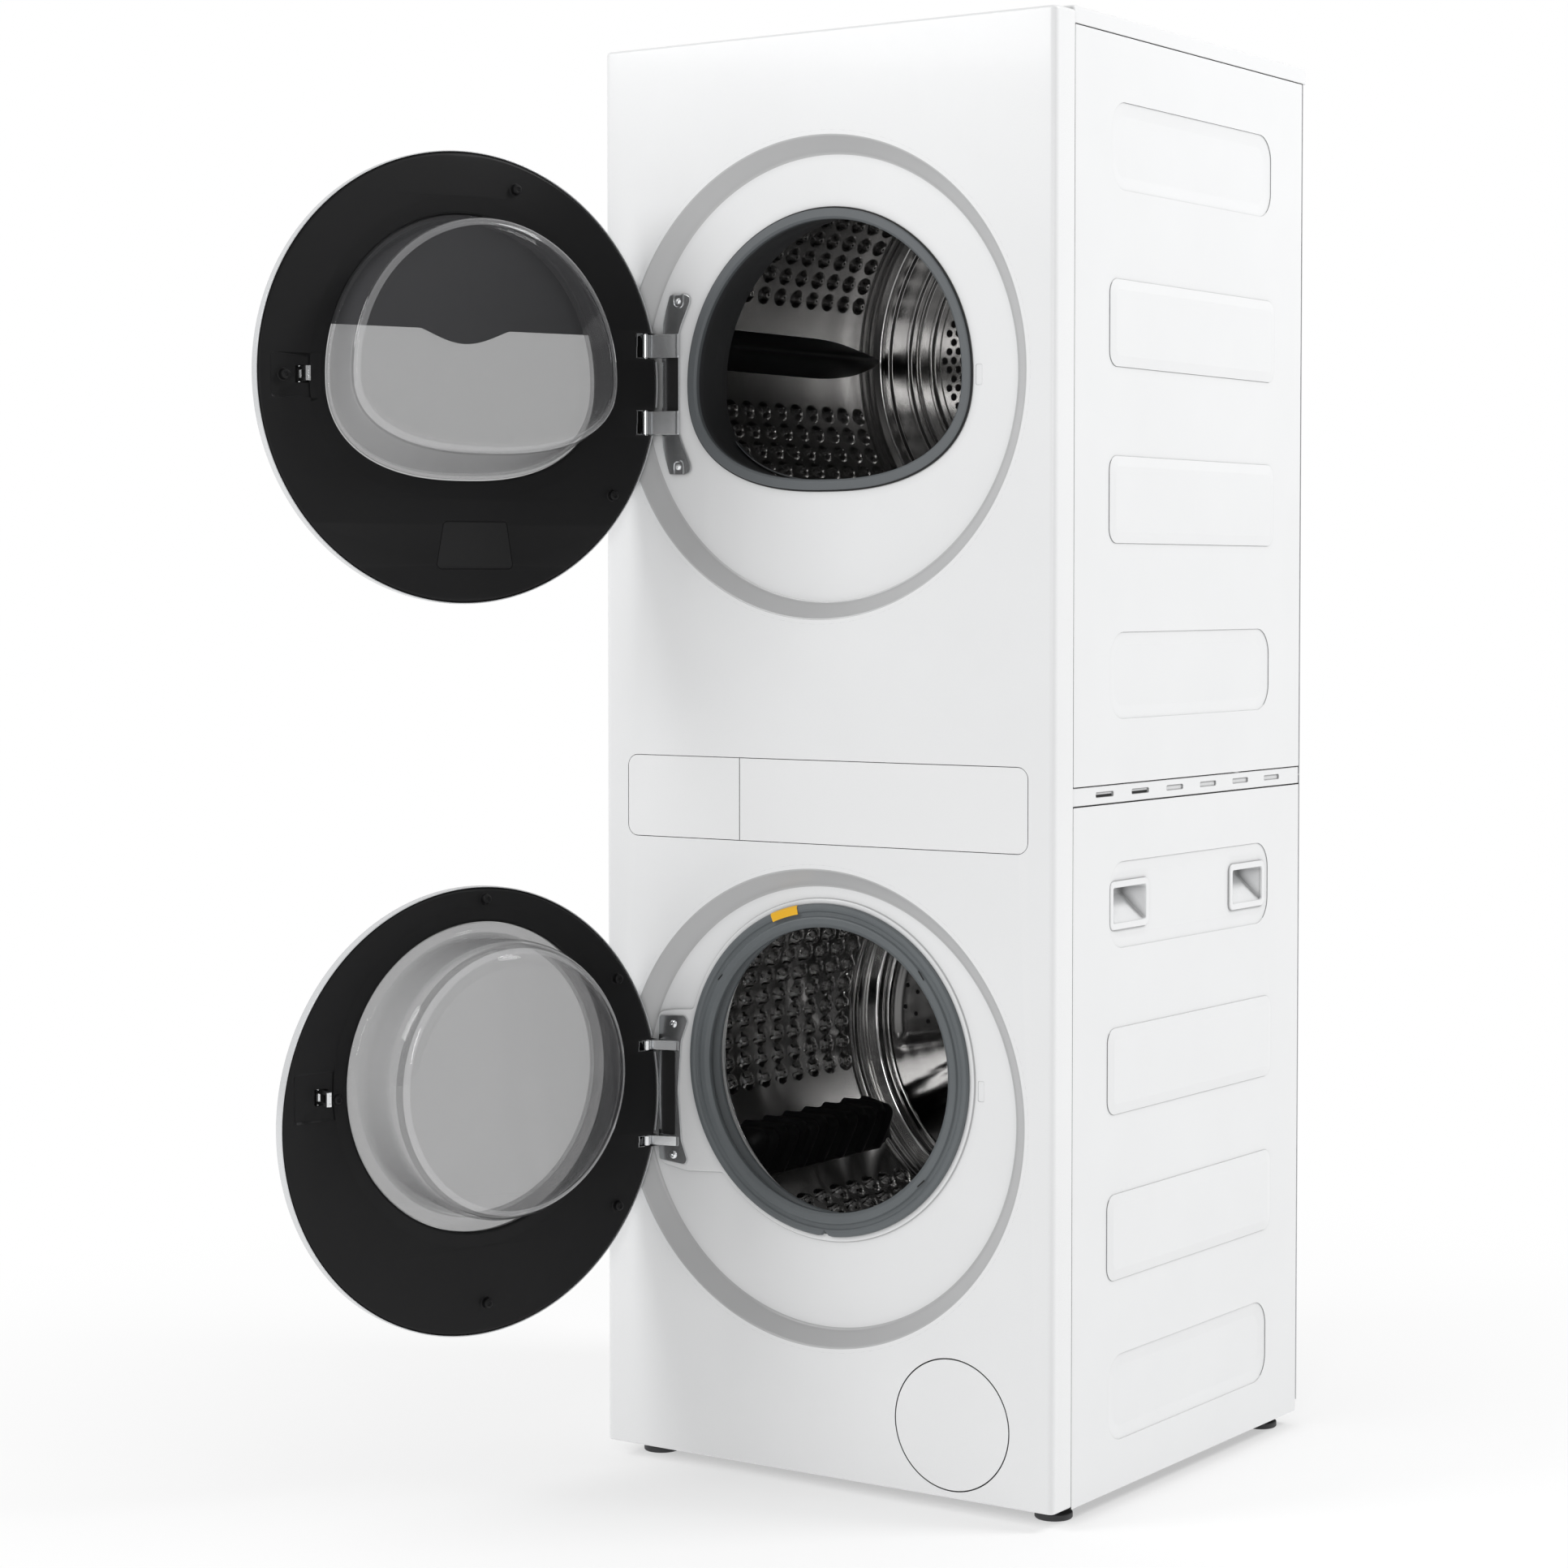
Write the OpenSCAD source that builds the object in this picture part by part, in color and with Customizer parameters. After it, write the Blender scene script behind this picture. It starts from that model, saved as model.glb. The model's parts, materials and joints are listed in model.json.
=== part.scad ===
// Free-standing laundry tower: a front-loading washer below and a tumble dryer above in one
// cabinet, with both round doors standing open.
// Origin: centre of the footprint, on the floor. +X to the right, +Y to the back, +Z up.

/* [Cabinet] */
// Width across the front casing
cab_w = 600; // [590:1:620]
// Depth from the front face to the back panels
cab_d = 598; // [590:1:640]
// Height from the floor to the top of the lid
cab_h = 1641; // [1636:1:1680]
// Wall of the moulded front casing
casing_t = 3; // [2:0.5:4]
// Thickness of the sheet-metal panels
sheet = 2; // [1.5:0.5:3]
// How far the front casing wraps round the sides
wrap = 40; // [30:1:50]
// Height of the raised pads and depth of the sunk ones on the side panels
emboss = 3; // [1:0.5:4]

/* [Dishes and mouths] */
// Sideways place of both dish centres
dish_x = -5; // [-8:1:0]
// Height of the dryer dish centre
dryer_z = 1251; // [1245:1:1260]
// Height of the washer dish centre
washer_z = 434; // [430:1:440]
// Radius of a dish at the front face
dish_r = 268; // [266:1:272]
// Radius of the flat floor of a dish
dish_floor_r = 250; // [248:1:254]
// Depth of a dish
dish_depth = 18; // [17:0.5:20]
// Half width of the dryer mouth over its grey rim
mouth_r = 190; // [185:1:195]
// Height of the flattened lower half of the dryer mouth
mouth_low = 125; // [120:1:130]
// Width of the grey rim of the dryer mouth
rim_w = 14; // [10:1:16]
// Height of the washer mouth centre above the washer dish centre
gasket_rise = 42; // [38:1:46]
// Outer radius of the washer gasket
gasket_r = 187; // [184:1:190]
// Inner radius of the washer gasket lip
lip_r = 160.5; // [160:0.5:165]

/* [Doors] */
// Radius of the black inner face of a door
liner_r = 250; // [246:1:251]
// Thickness of a door from its inner face to its front glass
door_t = 29; // [26:1:34]
// Angle at which the dryer door stands open
dryer_open = 112.6; // [60:0.1:115]
// Angle at which the washer door stands open
washer_open = 107; // [60:0.1:110]
// Distance of the hinge line from the centre line
hinge_x = -243; // [-245:1:-242]
// Depth of the washer door bowl
bowl_d = 88; // [80:1:90]
// Depth of the dryer door bowl
dryer_bowl_d = 60; // [50:1:60]

/* [Control panel] */
// Width of the control panel with the drawer front
panel_w = 535; // [520:1:540]
// Lower edge of the control panel
panel_z = 731; // [730:1:735]
// Height of the control panel
panel_h = 94; // [90:1:96]
// Place of the gap between the drawer front and the fascia
divider_x = -110.4; // [-115:0.1:-105]
// Corner radius of the control panel
panel_r = 13; // [8:1:16]

/* [Drums] */
// Outer radius of the washer drum
wdrum_r = 246; // [240:1:248]
// Outer radius of the dryer drum
ddrum_r = 270; // [264:1:272]
// Height of the dryer drum centre above the dryer dish centre
drum_rise = 52; // [44:1:54]
// Depth at which the washer drum ends at the back
wdrum_back = 190; // [180:1:192]
// Depth at which the dryer drum ends at the back
ddrum_back = 232; // [220:1:234]
// Height of the washer lifters
wlifter_h = 48; // [30:1:60]
// Height of the dryer lifters
dlifter_h = 55; // [40:1:70]

/* [Hidden] */
$fn = 96;

eps = 0.01;
front = -300;                         // front face of the cabinet
back = front + cab_d;                 // outer face of the back panels
floor_y = front + dish_depth;         // floor of the dishes
casing_z0 = 20;
casing_z1 = cab_h - 5;
side_x = cab_w / 2 - 2;               // outer face of the side panels
side_y0 = front + wrap + 0.5;
strip_z0 = 781;
strip_z1 = 801;
lid_z0 = cab_h - 19;
side_z0 = 16;
mouth_z = washer_z + gasket_rise;     // height of the washer mouth and drum
ddrum_z = dryer_z + drum_rise;        // height of the dryer drum
wmouth_x = -2;                        // sideways place of the washer mouth
dmouth_x = -4;                        // sideways place of the dryer mouth
hinge_y = front + 1;
glass_r = 226;                        // radius of the front glass of a door
face_y = front + 7;                   // inner face of a closed door
glass_y = face_y - door_t;            // outer face of a closed door's glass
bowl_face = face_y + dryer_bowl_d;
window_at = [wmouth_x - 7, mouth_z - 3.5];
rim_floor = glass_y + 16;             // inner side of a door's outer frame
corner_r = 16;
filter_x = 172.7;
filter_z = 101;
filter_r = 72.8;
pad_h = 96;                           // height of a pad on the side panels
pad_y0 = -175;
pad_y1 = 215;
upper_pads = [[921, -1], [1114.5, 1], [1308, 1], [1501.5, -1]];   // height, raised or sunk
lower_pads = [[119.5, -1], [299.5, 1], [484, 1], [667.5, -1]];
grip_z = 667;
grip_h = 54;
grip_y = [-127, 161];                 // hand grips, centres along the depth
grip_w = 90;
grip_depth = 36;
slot_y = [for (i = [0:5]) -184.5 + 81.6 * i];
arm_z = [44, -44];                    // dryer hinge arms above and below the dish centre
arm_h = 27;
warm_z = [54, -57];                   // washer hinge arms above and below the dish centre
warm_h = 11;
pin_r = 3;
dlatch = [194.5, 1249];
wlatch = [199, 468];
wdrum_front = -222;
ddrum_front = -206;
motor_x = 150;
motor_z = 887;
deck_z = 831;                         // top of the deck that carries the dryer works
duct_x = -25;                         // exhaust duct, beside the motor and below the drum
duct_z = 885;
duct_r = 51;
inlet_x = [-215, -165];               // water inlets on the back
inlet_z = 745;
drain_z = 690;                        // drain spigot below the first inlet
cable_x = 215;                        // socket of the supply cable, level with the inlets
stub = 10;                            // how far the spigots stand out of the back
bulk_y = [-246, 252];                 // front faces of the two dryer bulkheads
bulk_top = 1612;
frame_x = 292;                        // half width of the trays and bulkheads
frame_y = [-255, 295];                // front and back edge of the trays
tub_r = 266;
tub_front = -236;
tub_back = 212;
shaft_r = 17.95;                      // washer drum shaft
axle_r = 9.95;                        // dryer drum axle
motor_shaft_r = 5.95;
hose_at = [-190, -150];               // hose from the drawer housing down to the tub
fit = 0.05;                           // radial play of a running fit
belt_y = 150;
pulley_r = 9;
roller_r = 25;
roller_a = 35;                        // rollers, degrees either side of straight down
foot_at = [[-266, -238], [266, -238], [-266, 262], [266, 262]];
drawer_x0 = -262;
drawer_x1 = -118;
drawer_z0 = 740;
drawer_l = 240;
drawer_cups = [[drawer_x0 + 3, drawer_x0 + 68, -66],      // detergent, left, right, back
               [drawer_x0 + 71, drawer_x1 - 3, -130]];    // softener
screw_places = [[-208, dryer_z + 89], [-208, dryer_z - 91],
                [-214, washer_z + 79], [-214, washer_z - 73]];
roller_places = [for (s = [-1, 1]) [dmouth_x + s * (ddrum_r + roller_r + 0.3) * sin(roller_a),
                                    ddrum_z - (ddrum_r + roller_r + 0.3) * cos(roller_a)]];
dryer_pegs = [[-70, 212, 7], [214, -3, 7], [-195, -128, 7]];      // places and heights
washer_pegs = [[-15, 237, 7], [-196, 135, 7], [-196, -127, 7], [-15, -216, 7], [176, 30, 3]];

// Helpers -------------------------------------------------------------------------------------
module ycyl(x, z, y0, y1, r) translate([x, y0, z]) rotate([-90, 0, 0]) cylinder(h = y1 - y0, r = r);
module yrev(x, z) translate([x, 0, z]) rotate([-90, 0, 0]) rotate_extrude() children();
module yprism(y0, y1) translate([0, y1, 0]) rotate([90, 0, 0]) linear_extrude(y1 - y0) children();
module xprism(x0, x1) translate([x0, 0, 0]) rotate([90, 0, 90]) linear_extrude(x1 - x0) children();
module block(a, b) translate(a) cube(b - a);
module ring(ro, ri, h) difference() {
    cylinder(h = h, r = ro);
    translate([0, 0, -1]) cylinder(h = h + 2, r = ri);
}
module rrect(a, b, r) union() {       // rectangle from corner a to corner b with round corners
    translate([a.x + r, a.y]) square([b.x - a.x - 2 * r, b.y - a.y]);
    translate([a.x, a.y + r]) square([b.x - a.x, b.y - a.y - 2 * r]);
    for (x = [a.x + r, b.x - r], y = [a.y + r, b.y - r]) translate([x, y]) circle(r);
}
// Outline of the dryer mouth: a half circle above, a flattened half below
function egg(r, low, n = 72) = [for (i = [0:n - 1]) let (a = 360 * i / n, c = cos(a), s = sin(a))
    s >= 0 ? [r * c, r * s]
           : [r * sign(c) * pow(abs(c), 0.82), -low * pow(-s, 0.82)]];
module egg_outline(inset) translate([dmouth_x, dryer_z])
    polygon(egg(mouth_r - inset, mouth_low - inset));
module swing(angle) translate([hinge_x, hinge_y, 0]) rotate([0, 0, -angle])
    translate([-hinge_x, -hinge_y, 0]) children();

// Cabinet -------------------------------------------------------------------------------------
module dish(zc) yrev(dish_x, zc) polygon([
    [0, floor_y], [dish_floor_r, floor_y], [dish_r, front], [dish_r + 5, front],
    [dish_r + 5, front + casing_t], [dish_r + 1, front + casing_t],
    [dish_floor_r + 1, floor_y + casing_t], [0, floor_y + casing_t]]);
module casing_plan(inset) rrect([-cab_w / 2 + inset, front + inset],
    [cab_w / 2 - inset, front + 3 * wrap], corner_r - inset);
module front_casing() color("white") difference() {
    union() {
        difference() {
            translate([0, 0, casing_z0]) linear_extrude(casing_z1 - casing_z0) difference() {
                casing_plan(0);
                casing_plan(casing_t);
                translate([-cab_w, front + wrap]) square([2 * cab_w, 4 * wrap]);
            }
            for (z = [dryer_z, washer_z]) ycyl(dish_x, z, front - 1, front + 10, dish_r);
        }
        dish(dryer_z);
        dish(washer_z);
        for (p = [[casing_z0, 15], [casing_z1 - casing_t, wrap]])
            translate([0, 0, p[0]]) linear_extrude(casing_t) intersection() {
                casing_plan(1);
                translate([-cab_w, front]) square([2 * cab_w, p[1]]);
            }
    }
    yprism(front - 1, front + 10) rrect([-panel_w / 2, panel_z],
        [panel_w / 2, panel_z + panel_h], panel_r);
    ycyl(filter_x, filter_z, front - 1, front + 10, filter_r);
    yprism(floor_y - 1, floor_y + 10) egg_outline(rim_w - 4);
    ycyl(wmouth_x, mouth_z, floor_y - 1, floor_y + 10, gasket_r - 7);
    for (p = [dlatch, wlatch]) block([p.x - 7, floor_y - 1, p.y - 13], [p.x + 5, 0, p.y + 13]);
    for (p = screw_places) ycyl(p.x, p.y, floor_y - 1, floor_y + 10, 2.1);
}

module pad_outline(z, grow) rrect([pad_y0 - grow, z - pad_h / 2 - grow],
    [pad_y1 + grow, z + pad_h / 2 + grow], 10);
module side_panel(z0, z1, pads, grips) color("white") difference() {
    union() {
        xprism(side_x - sheet, side_x) translate([side_y0, z0])
            square([back - side_y0 - sheet - 0.5, z1 - z0]);
        for (p = pads) if (p[1] > 0)
            xprism(side_x - sheet, side_x + emboss) pad_outline(p[0], 5);
            else xprism(side_x - sheet - emboss, side_x) pad_outline(p[0], 0);
    }
    for (p = pads) if (p[1] < 0)
        xprism(side_x - emboss, side_x + 1) pad_outline(p[0], -2);
    if (grips) for (y = grip_y) xprism(side_x - 10, side_x + 10)
        rrect([y - grip_w / 2 + 4, grip_z - grip_h / 2 + 4],
              [y + grip_w / 2 - 4, grip_z + grip_h / 2 - 4], 8);
}
module upper_side_panels() for (m = [0, 1]) mirror([m, 0, 0])
    side_panel(strip_z1 + 0.5, lid_z0 - 0.5, upper_pads, false);
module lower_side_panels() for (m = [0, 1]) mirror([m, 0, 0])
    side_panel(side_z0, strip_z0 - 0.5, lower_pads, true);
module middle_strips() color("white") for (m = [0, 1]) mirror([m, 0, 0]) difference() {
    block([side_x - 4, side_y0, strip_z0], [side_x - 1.5, back - sheet - 0.5, strip_z1]);
    for (i = [0:5]) xprism(side_x - (i < 2 ? 9 : 2.5), side_x)
        rrect([slot_y[i] - 20, 787.5], [slot_y[i] + 20, 794.5], 3.4);
}
module top_lid() color("white") difference() {
    block([-side_x, front + wrap + 0.5, lid_z0], [side_x, back + 10, cab_h]);
    block([-side_x + 3, front + wrap - 1, lid_z0 - 1], [side_x - 3, back + 7, cab_h - 3]);
}
module back_panel(z0, z1) block([-side_x, back - sheet, z0], [side_x, back, z1]);
module back_panels() color("silver") difference() {
    union() {
        back_panel(strip_z1 - 9, lid_z0 - 0.5);
        back_panel(side_z0 + 14, strip_z1 - 9.5);
    }
    ycyl(duct_x, duct_z, back - 9, back + 9, duct_r + 1);
    for (i = [0:5], j = [0:2])
        block([-200 + 60 * i, back - 9, 1200 + 60 * j], [-160 + 60 * i, back + 9, 1206 + 60 * j]);
    for (x = inlet_x) ycyl(x, inlet_z, back - 9, back + 9, 16);
    ycyl(inlet_x[0], drain_z, back - 9, back + 9, 12.5);
    ycyl(cable_x, inlet_z, back - 9, back + 9, 9);
}
module base_tray() color("dimgray") difference() {
    block([-frame_x, frame_y[0], side_z0], [frame_x, frame_y[1], side_z0 + 12]);
    block([-frame_x + 3, frame_y[0] + 3, side_z0 + 3],
          [frame_x - 3, frame_y[1] - 3, side_z0 + 20]);
    for (p = foot_at) translate([p.x, p.y, 0]) cylinder(h = 60, r = 5.3);
}
module dryer_deck() color("silver")
    block([-frame_x, frame_y[0], deck_z - 2], [frame_x, frame_y[1], deck_z]);
module levelling_feet() color("dimgray") for (p = foot_at) translate([p.x, p.y, 0]) {
    cylinder(h = 8, r = 21);
    translate([0, 0, 8 - eps]) cylinder(h = 7.5, r = 13);
    cylinder(h = 34, r = 5);
}
module hand_grips() color("gainsboro") for (m = [0, 1], y = grip_y) mirror([m, 0, 0])
    difference() {
        union() {
            xprism(side_x - grip_depth, side_x - emboss) rrect(
                [y - grip_w / 2 + 4.5, grip_z - grip_h / 2 + 4.5],
                [y + grip_w / 2 - 4.5, grip_z + grip_h / 2 - 4.5], 7.5);
            xprism(side_x - emboss, side_x) rrect([y - grip_w / 2, grip_z - grip_h / 2],
                [y + grip_w / 2, grip_z + grip_h / 2], 10);
        }
        xprism(side_x - grip_depth + 2, side_x + 1) rrect(
            [y - grip_w / 2 + 8, grip_z - grip_h / 2 + 8],
            [y + grip_w / 2 - 8, grip_z + grip_h / 2 - 8], 5);
    }

// Control panel and detergent drawer ----------------------------------------------------------
module panel_piece(x0, x1) yprism(front, front + casing_t) intersection() {
    rrect([-panel_w / 2 + 0.5, panel_z + 0.5], [panel_w / 2 - 0.5, panel_z + panel_h - 0.5],
          panel_r - 0.5);
    translate([x0, 0]) square([x1 - x0, cab_h]);
}
module control_fascia() color("white") panel_piece(divider_x + 0.5, cab_w);
module control_board() color("seagreen")
    block([-95, front + casing_t + 2, panel_z + 14], [250, front + casing_t + 24, panel_z + 80]);
module drawer_housing() color("gainsboro") difference() {
    block([drawer_x0 - 4, front + casing_t + 0.3, drawer_z0 - 5],
          [drawer_x1 + 4, front + casing_t + drawer_l + 8, panel_z + panel_h + 2]);
    block([drawer_x0 - 1, front, drawer_z0 - 1],
          [drawer_x1 + 1, front + casing_t + drawer_l + 5, panel_z + panel_h - 1]);
    translate([hose_at.x, hose_at.y, 700]) cylinder(h = 60, r = 14);
}
module detergent_drawer() color("whitesmoke") {
    panel_piece(-cab_w, divider_x - 0.5);
    difference() {
        block([drawer_x0, front + casing_t - eps, drawer_z0],
              [drawer_x1, front + casing_t + drawer_l, drawer_z0 + 62]);
        for (c = drawer_cups) block([c[0], front + casing_t + 14, drawer_z0 + 3],
            [c[1], c[2], drawer_z0 + 70]);
    }
}

// Drain pump ----------------------------------------------------------------------------------
module drain_filter_cover() color("white")
    ycyl(filter_x, filter_z, front, front + 2.6, filter_r - 0.8);
module drain_pump() color("lightgray") difference() {
    union() {
        ycyl(filter_x, filter_z, -272, -150, 36);
        ycyl(filter_x, filter_z, -150 - eps, -90, 44);
        block([filter_x - 22, -230, side_z0 + 3.2], [filter_x + 22, -190, filter_z]);
    }
    ycyl(filter_x, filter_z, -273, -180, 32);
}
module pump_filter_knob() color("dimgray") {
    ycyl(filter_x, filter_z, -278, -200, 31.6);
    block([filter_x - 24, -288, filter_z - 5], [filter_x + 24, -278 + eps, filter_z + 5]);
}

// Washer --------------------------------------------------------------------------------------
module washer_tub() color("gainsboro") difference() {
    union() {
        yrev(wmouth_x, mouth_z) polygon([
            [gasket_r - 9, tub_front], [tub_r, tub_front], [tub_r, tub_back], [60, tub_back],
            [60, tub_back + 16], [shaft_r + fit, tub_back + 16],
            [shaft_r + fit, tub_back - 4], [tub_r - 4, tub_back - 4],
            [tub_r - 4, tub_front + 4], [gasket_r - 9, tub_front + 4]]);
        translate([hose_at.x, hose_at.y, 664]) cylinder(h = 20, r = 16);
    }
    translate([hose_at.x, hose_at.y, 640]) cylinder(h = 60, r = 13);
}
module door_gasket() color("dimgray") yrev(wmouth_x, mouth_z) polygon([
    [lip_r, -284], [lip_r + 3, -288], [lip_r + 15, -289.5], [gasket_r - 2, -289],
    [gasket_r, -286], [gasket_r, floor_y - 0.2], [gasket_r - 7.5, floor_y - 0.2],
    [gasket_r - 7.5, -262], [gasket_r + 1, -258], [gasket_r + 1, tub_front - 0.3],
    [gasket_r - 9, tub_front - 0.3], [gasket_r - 9, -250], [gasket_r - 11, -256],
    [lip_r + 5, -276], [lip_r, -280]]);
module tub_counterweight() color("darkgray") difference() {
    ycyl(wmouth_x, mouth_z, -274, tub_front - 0.4, 262);
    ycyl(wmouth_x, mouth_z, -300, 0, gasket_r + 8);
    block([-300, -300, mouth_z - 150], [300, 0, mouth_z + 150]);
}
module suspension_springs() color("silver") for (s = [-1, 1])
    translate([wmouth_x + s * 235, 0, 0]) {
        translate([0, 0, 655]) ring(10, 7.5, 100);
        translate([0, 0, 755]) cylinder(h = 16, r = 3);
        translate([0, 0, 754]) cylinder(h = 2, r = 10);
    }
module tub_dampers() color("gray") for (s = [-1, 1]) translate([wmouth_x + s * 190, -40, 0]) {
    translate([0, 0, side_z0 + 3]) cylinder(h = 130, r = 13);
    translate([0, 0, side_z0 + 120]) cylinder(h = 145, r = 6);
}
module wash_heater() color("silver") for (x = [-30, 30])
    ycyl(wmouth_x + x, mouth_z - 254, -180, 150, 3.5);
module washer_drum() color("silver") yrev(wmouth_x, mouth_z) polygon([
    [184, wdrum_front], [wdrum_r - 8, wdrum_front], [wdrum_r, wdrum_front + 8],
    [wdrum_r, wdrum_back], [22, wdrum_back], [22, wdrum_back - 3],
    [wdrum_r - 2.5, wdrum_back - 3], [wdrum_r - 2.5, wdrum_front + 10],
    [wdrum_r - 10, wdrum_front + 2.5], [184, wdrum_front + 2.5]]);
module lifters(x, z, r, h, w, y0, y1, at) translate([x, 0, z]) for (a = at) rotate([0, -a, 0])
    yprism(y0, y1) intersection() {
        circle(r);
        translate([r, 0]) polygon([[-h, -w / 5], [-h + 8, -w / 3.2], [1, -w / 2], [1, w / 2],
                                   [-h + 8, w / 3.2], [-h, w / 5]]);
    }
module washer_lifters() color("black")
    lifters(wmouth_x, mouth_z, wdrum_r - 2.6, wlifter_h, 74, wdrum_front + 24, wdrum_back - 40,
            [212, 332, 92]);
module drum_spider_shaft() color("darkgray") {
    for (a = [30, 150, 270]) translate([wmouth_x, 0, mouth_z]) rotate([0, -a, 0])
        block([18, wdrum_back + 0.2, -16], [225, wdrum_back + 14, 16]);
    ycyl(wmouth_x, mouth_z, wdrum_back + 0.2, wdrum_back + 16, 40);
    ycyl(wmouth_x, mouth_z, wdrum_back - 2, 256, shaft_r);
}
module motor_stator() color("goldenrod") difference() {
    ycyl(wmouth_x, mouth_z, tub_back + 16.2, tub_back + 38, 100);
    ycyl(wmouth_x, mouth_z, 100, 400, 62);
}
module motor_rotor() color("gray") difference() {
    ycyl(wmouth_x, mouth_z, tub_back + 17, tub_back + 46, 116);
    ycyl(wmouth_x, mouth_z, tub_back + 10, tub_back + 40, 104);
    ycyl(wmouth_x, mouth_z, 100, 400, shaft_r + fit);
}
module inlet_valves() color("whitesmoke") {
    for (x = inlet_x) {
        ycyl(x, inlet_z, 250, back, 15);
        ycyl(x, inlet_z, back - eps, back + stub, 13.2);
    }
    block([-238, 236, 728], [-142, 250.5, 762]);
    ycyl(inlet_x[0], drain_z, 270, back, 10.5);
    ycyl(inlet_x[0], drain_z, back - eps, back + stub, 11);
    ycyl(cable_x, inlet_z, 280, back + 6, 8.5);
}
module dispenser_hose() color("black") difference() {
    translate([hose_at.x, hose_at.y, 684.3]) cylinder(h = drawer_z0 - 5 - 684.6, r = 16);
    translate([hose_at.x, hose_at.y, 680]) cylinder(h = 80, r = 12.5);
}

// Dryer ---------------------------------------------------------------------------------------
module dryer_front_bulkhead() color("silver") difference() {
    block([-frame_x, bulk_y[0], deck_z + 0.2], [frame_x, bulk_y[0] + 3, bulk_top]);
    yprism(-260, -200) egg_outline(8);
    block([-100, -300, 1020], [92, -200, 1200]);
    for (p = roller_places) ycyl(p.x, p.y, -260, -200, 5);
}
module dryer_mouth_collar() color("slategray") difference() {
    union() {
        yprism(floor_y - 4, floor_y) egg_outline(0);
        yprism(floor_y - eps, -207) egg_outline(rim_w - 3);
    }
    yprism(-400, -100) egg_outline(rim_w);
    block([-98, -233.5, 1000], [90, -212, 1180]);
}
module lint_filter() color("dimgray") difference() {
    block([-97, -232.3, 1028], [89, -213, 1137]);
    block([-92, -229.3, 1033], [84, -216, 1133]);
    for (i = [0:10]) block([-90 + 16 * i, -227, 1132], [-80 + 16 * i, -218, 1140]);
}
module dryer_rear_bulkhead() color("silver") difference() {
    union() {
        block([-frame_x, bulk_y[1], deck_z + 0.2], [frame_x, bulk_y[1] + 3, bulk_top]);
        ycyl(dmouth_x, ddrum_z, 246, 266, 24);
    }
    ycyl(dmouth_x, ddrum_z, 200, 300, axle_r + fit);
    ycyl(duct_x, duct_z, 200, 400, duct_r + 2);
    for (a = [20:40:340]) ycyl(dmouth_x + 130 * cos(a), ddrum_z + 130 * sin(a), 200, 300, 28);
}
module dryer_drum() color("silver") difference() {
    yrev(dmouth_x, ddrum_z) polygon([
        [212, ddrum_front], [ddrum_r - 6, ddrum_front], [ddrum_r, ddrum_front + 6],
        [ddrum_r, ddrum_back], [11, ddrum_back], [11, ddrum_back - 2.5],
        [ddrum_r - 2.5, ddrum_back - 2.5], [ddrum_r - 2.5, ddrum_front + 8],
        [ddrum_r - 8, ddrum_front + 2.5], [212, ddrum_front + 2.5]]);
    for (a = [15:30:345]) ycyl(dmouth_x + 122 * cos(a), ddrum_z + 122 * sin(a), 200, 300, 9);
}
module dryer_lifters() color("black")
    lifters(dmouth_x, ddrum_z, ddrum_r - 2.6, dlifter_h, 60, ddrum_front + 12, ddrum_back - 20,
            [180, 300, 60]);
module dryer_drum_axle() color("gray") {
    ycyl(dmouth_x, ddrum_z, ddrum_back - 6, 276, axle_r);
    ycyl(dmouth_x, ddrum_z, ddrum_back + 0.2, ddrum_back + 6, 60);
}
module roller(p) {
    ycyl(p.x, p.y, -204, -186, roller_r);
    ycyl(p.x, p.y, bulk_y[0] + 5, -180, 5 - fit);
}
module drum_roller_left() color("dimgray") roller(roller_places[0]);
module drum_roller_right() color("dimgray") roller(roller_places[1]);
module dryer_motor() color("gray") difference() {
    union() {
        ycyl(motor_x, motor_z, -40, 120, 52);
        block([motor_x - 40, -20, deck_z + 0.2], [motor_x + 40, 100, motor_z - 30]);
    }
    ycyl(motor_x, motor_z, -60, 140, motor_shaft_r + fit);
}
module motor_shaft_and_fan() color("silver") {
    ycyl(motor_x, motor_z, -120, belt_y + 14, motor_shaft_r);
    ycyl(motor_x, motor_z, belt_y - 9, belt_y + 9, pulley_r);
    difference() {
        ycyl(motor_x, motor_z, -118, -74, 46);
        ycyl(motor_x, motor_z, -119, -80, 36);
    }
    ycyl(motor_x, motor_z, -118, -73, 9);
}
module belt_loop(grow) hull() {
    translate([dmouth_x, ddrum_z]) circle(ddrum_r + 0.4 + grow);
    translate([motor_x, motor_z]) circle(pulley_r + 0.4 + grow);
}
module drum_belt() color("black") yprism(belt_y - 5, belt_y + 5) difference() {
    belt_loop(2);
    belt_loop(0);
}
module blower_housing() color("gainsboro") difference() {
    block([duct_x - 56, -124, deck_z + 0.2], [motor_x + 56, -58, motor_z + 54]);
    ycyl(motor_x, motor_z, -121, -62, 50);
    block([duct_x - 50, -121, duct_z - 45], [motor_x, -62, duct_z + 45]);
    ycyl(motor_x, motor_z, -130, -120, 30);
    ycyl(motor_x, motor_z, -63, -50, 8);
    ycyl(duct_x, duct_z, -63, -50, duct_r - 4);
}
module exhaust_duct() color("silver") difference() {
    union() {
        ycyl(duct_x, duct_z, -57.8, back, duct_r - 1);
        ycyl(duct_x, duct_z, back - eps, back + stub, duct_r);
    }
    ycyl(duct_x, duct_z, -60, back + stub + 1, duct_r - 2);
}
module air_heater() color("firebrick") difference() {
    block([-250, 258, 1160], [-190, 290, 1340]);
    block([-245, 262, 1165], [-195, 286, 1335]);
}

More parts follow.
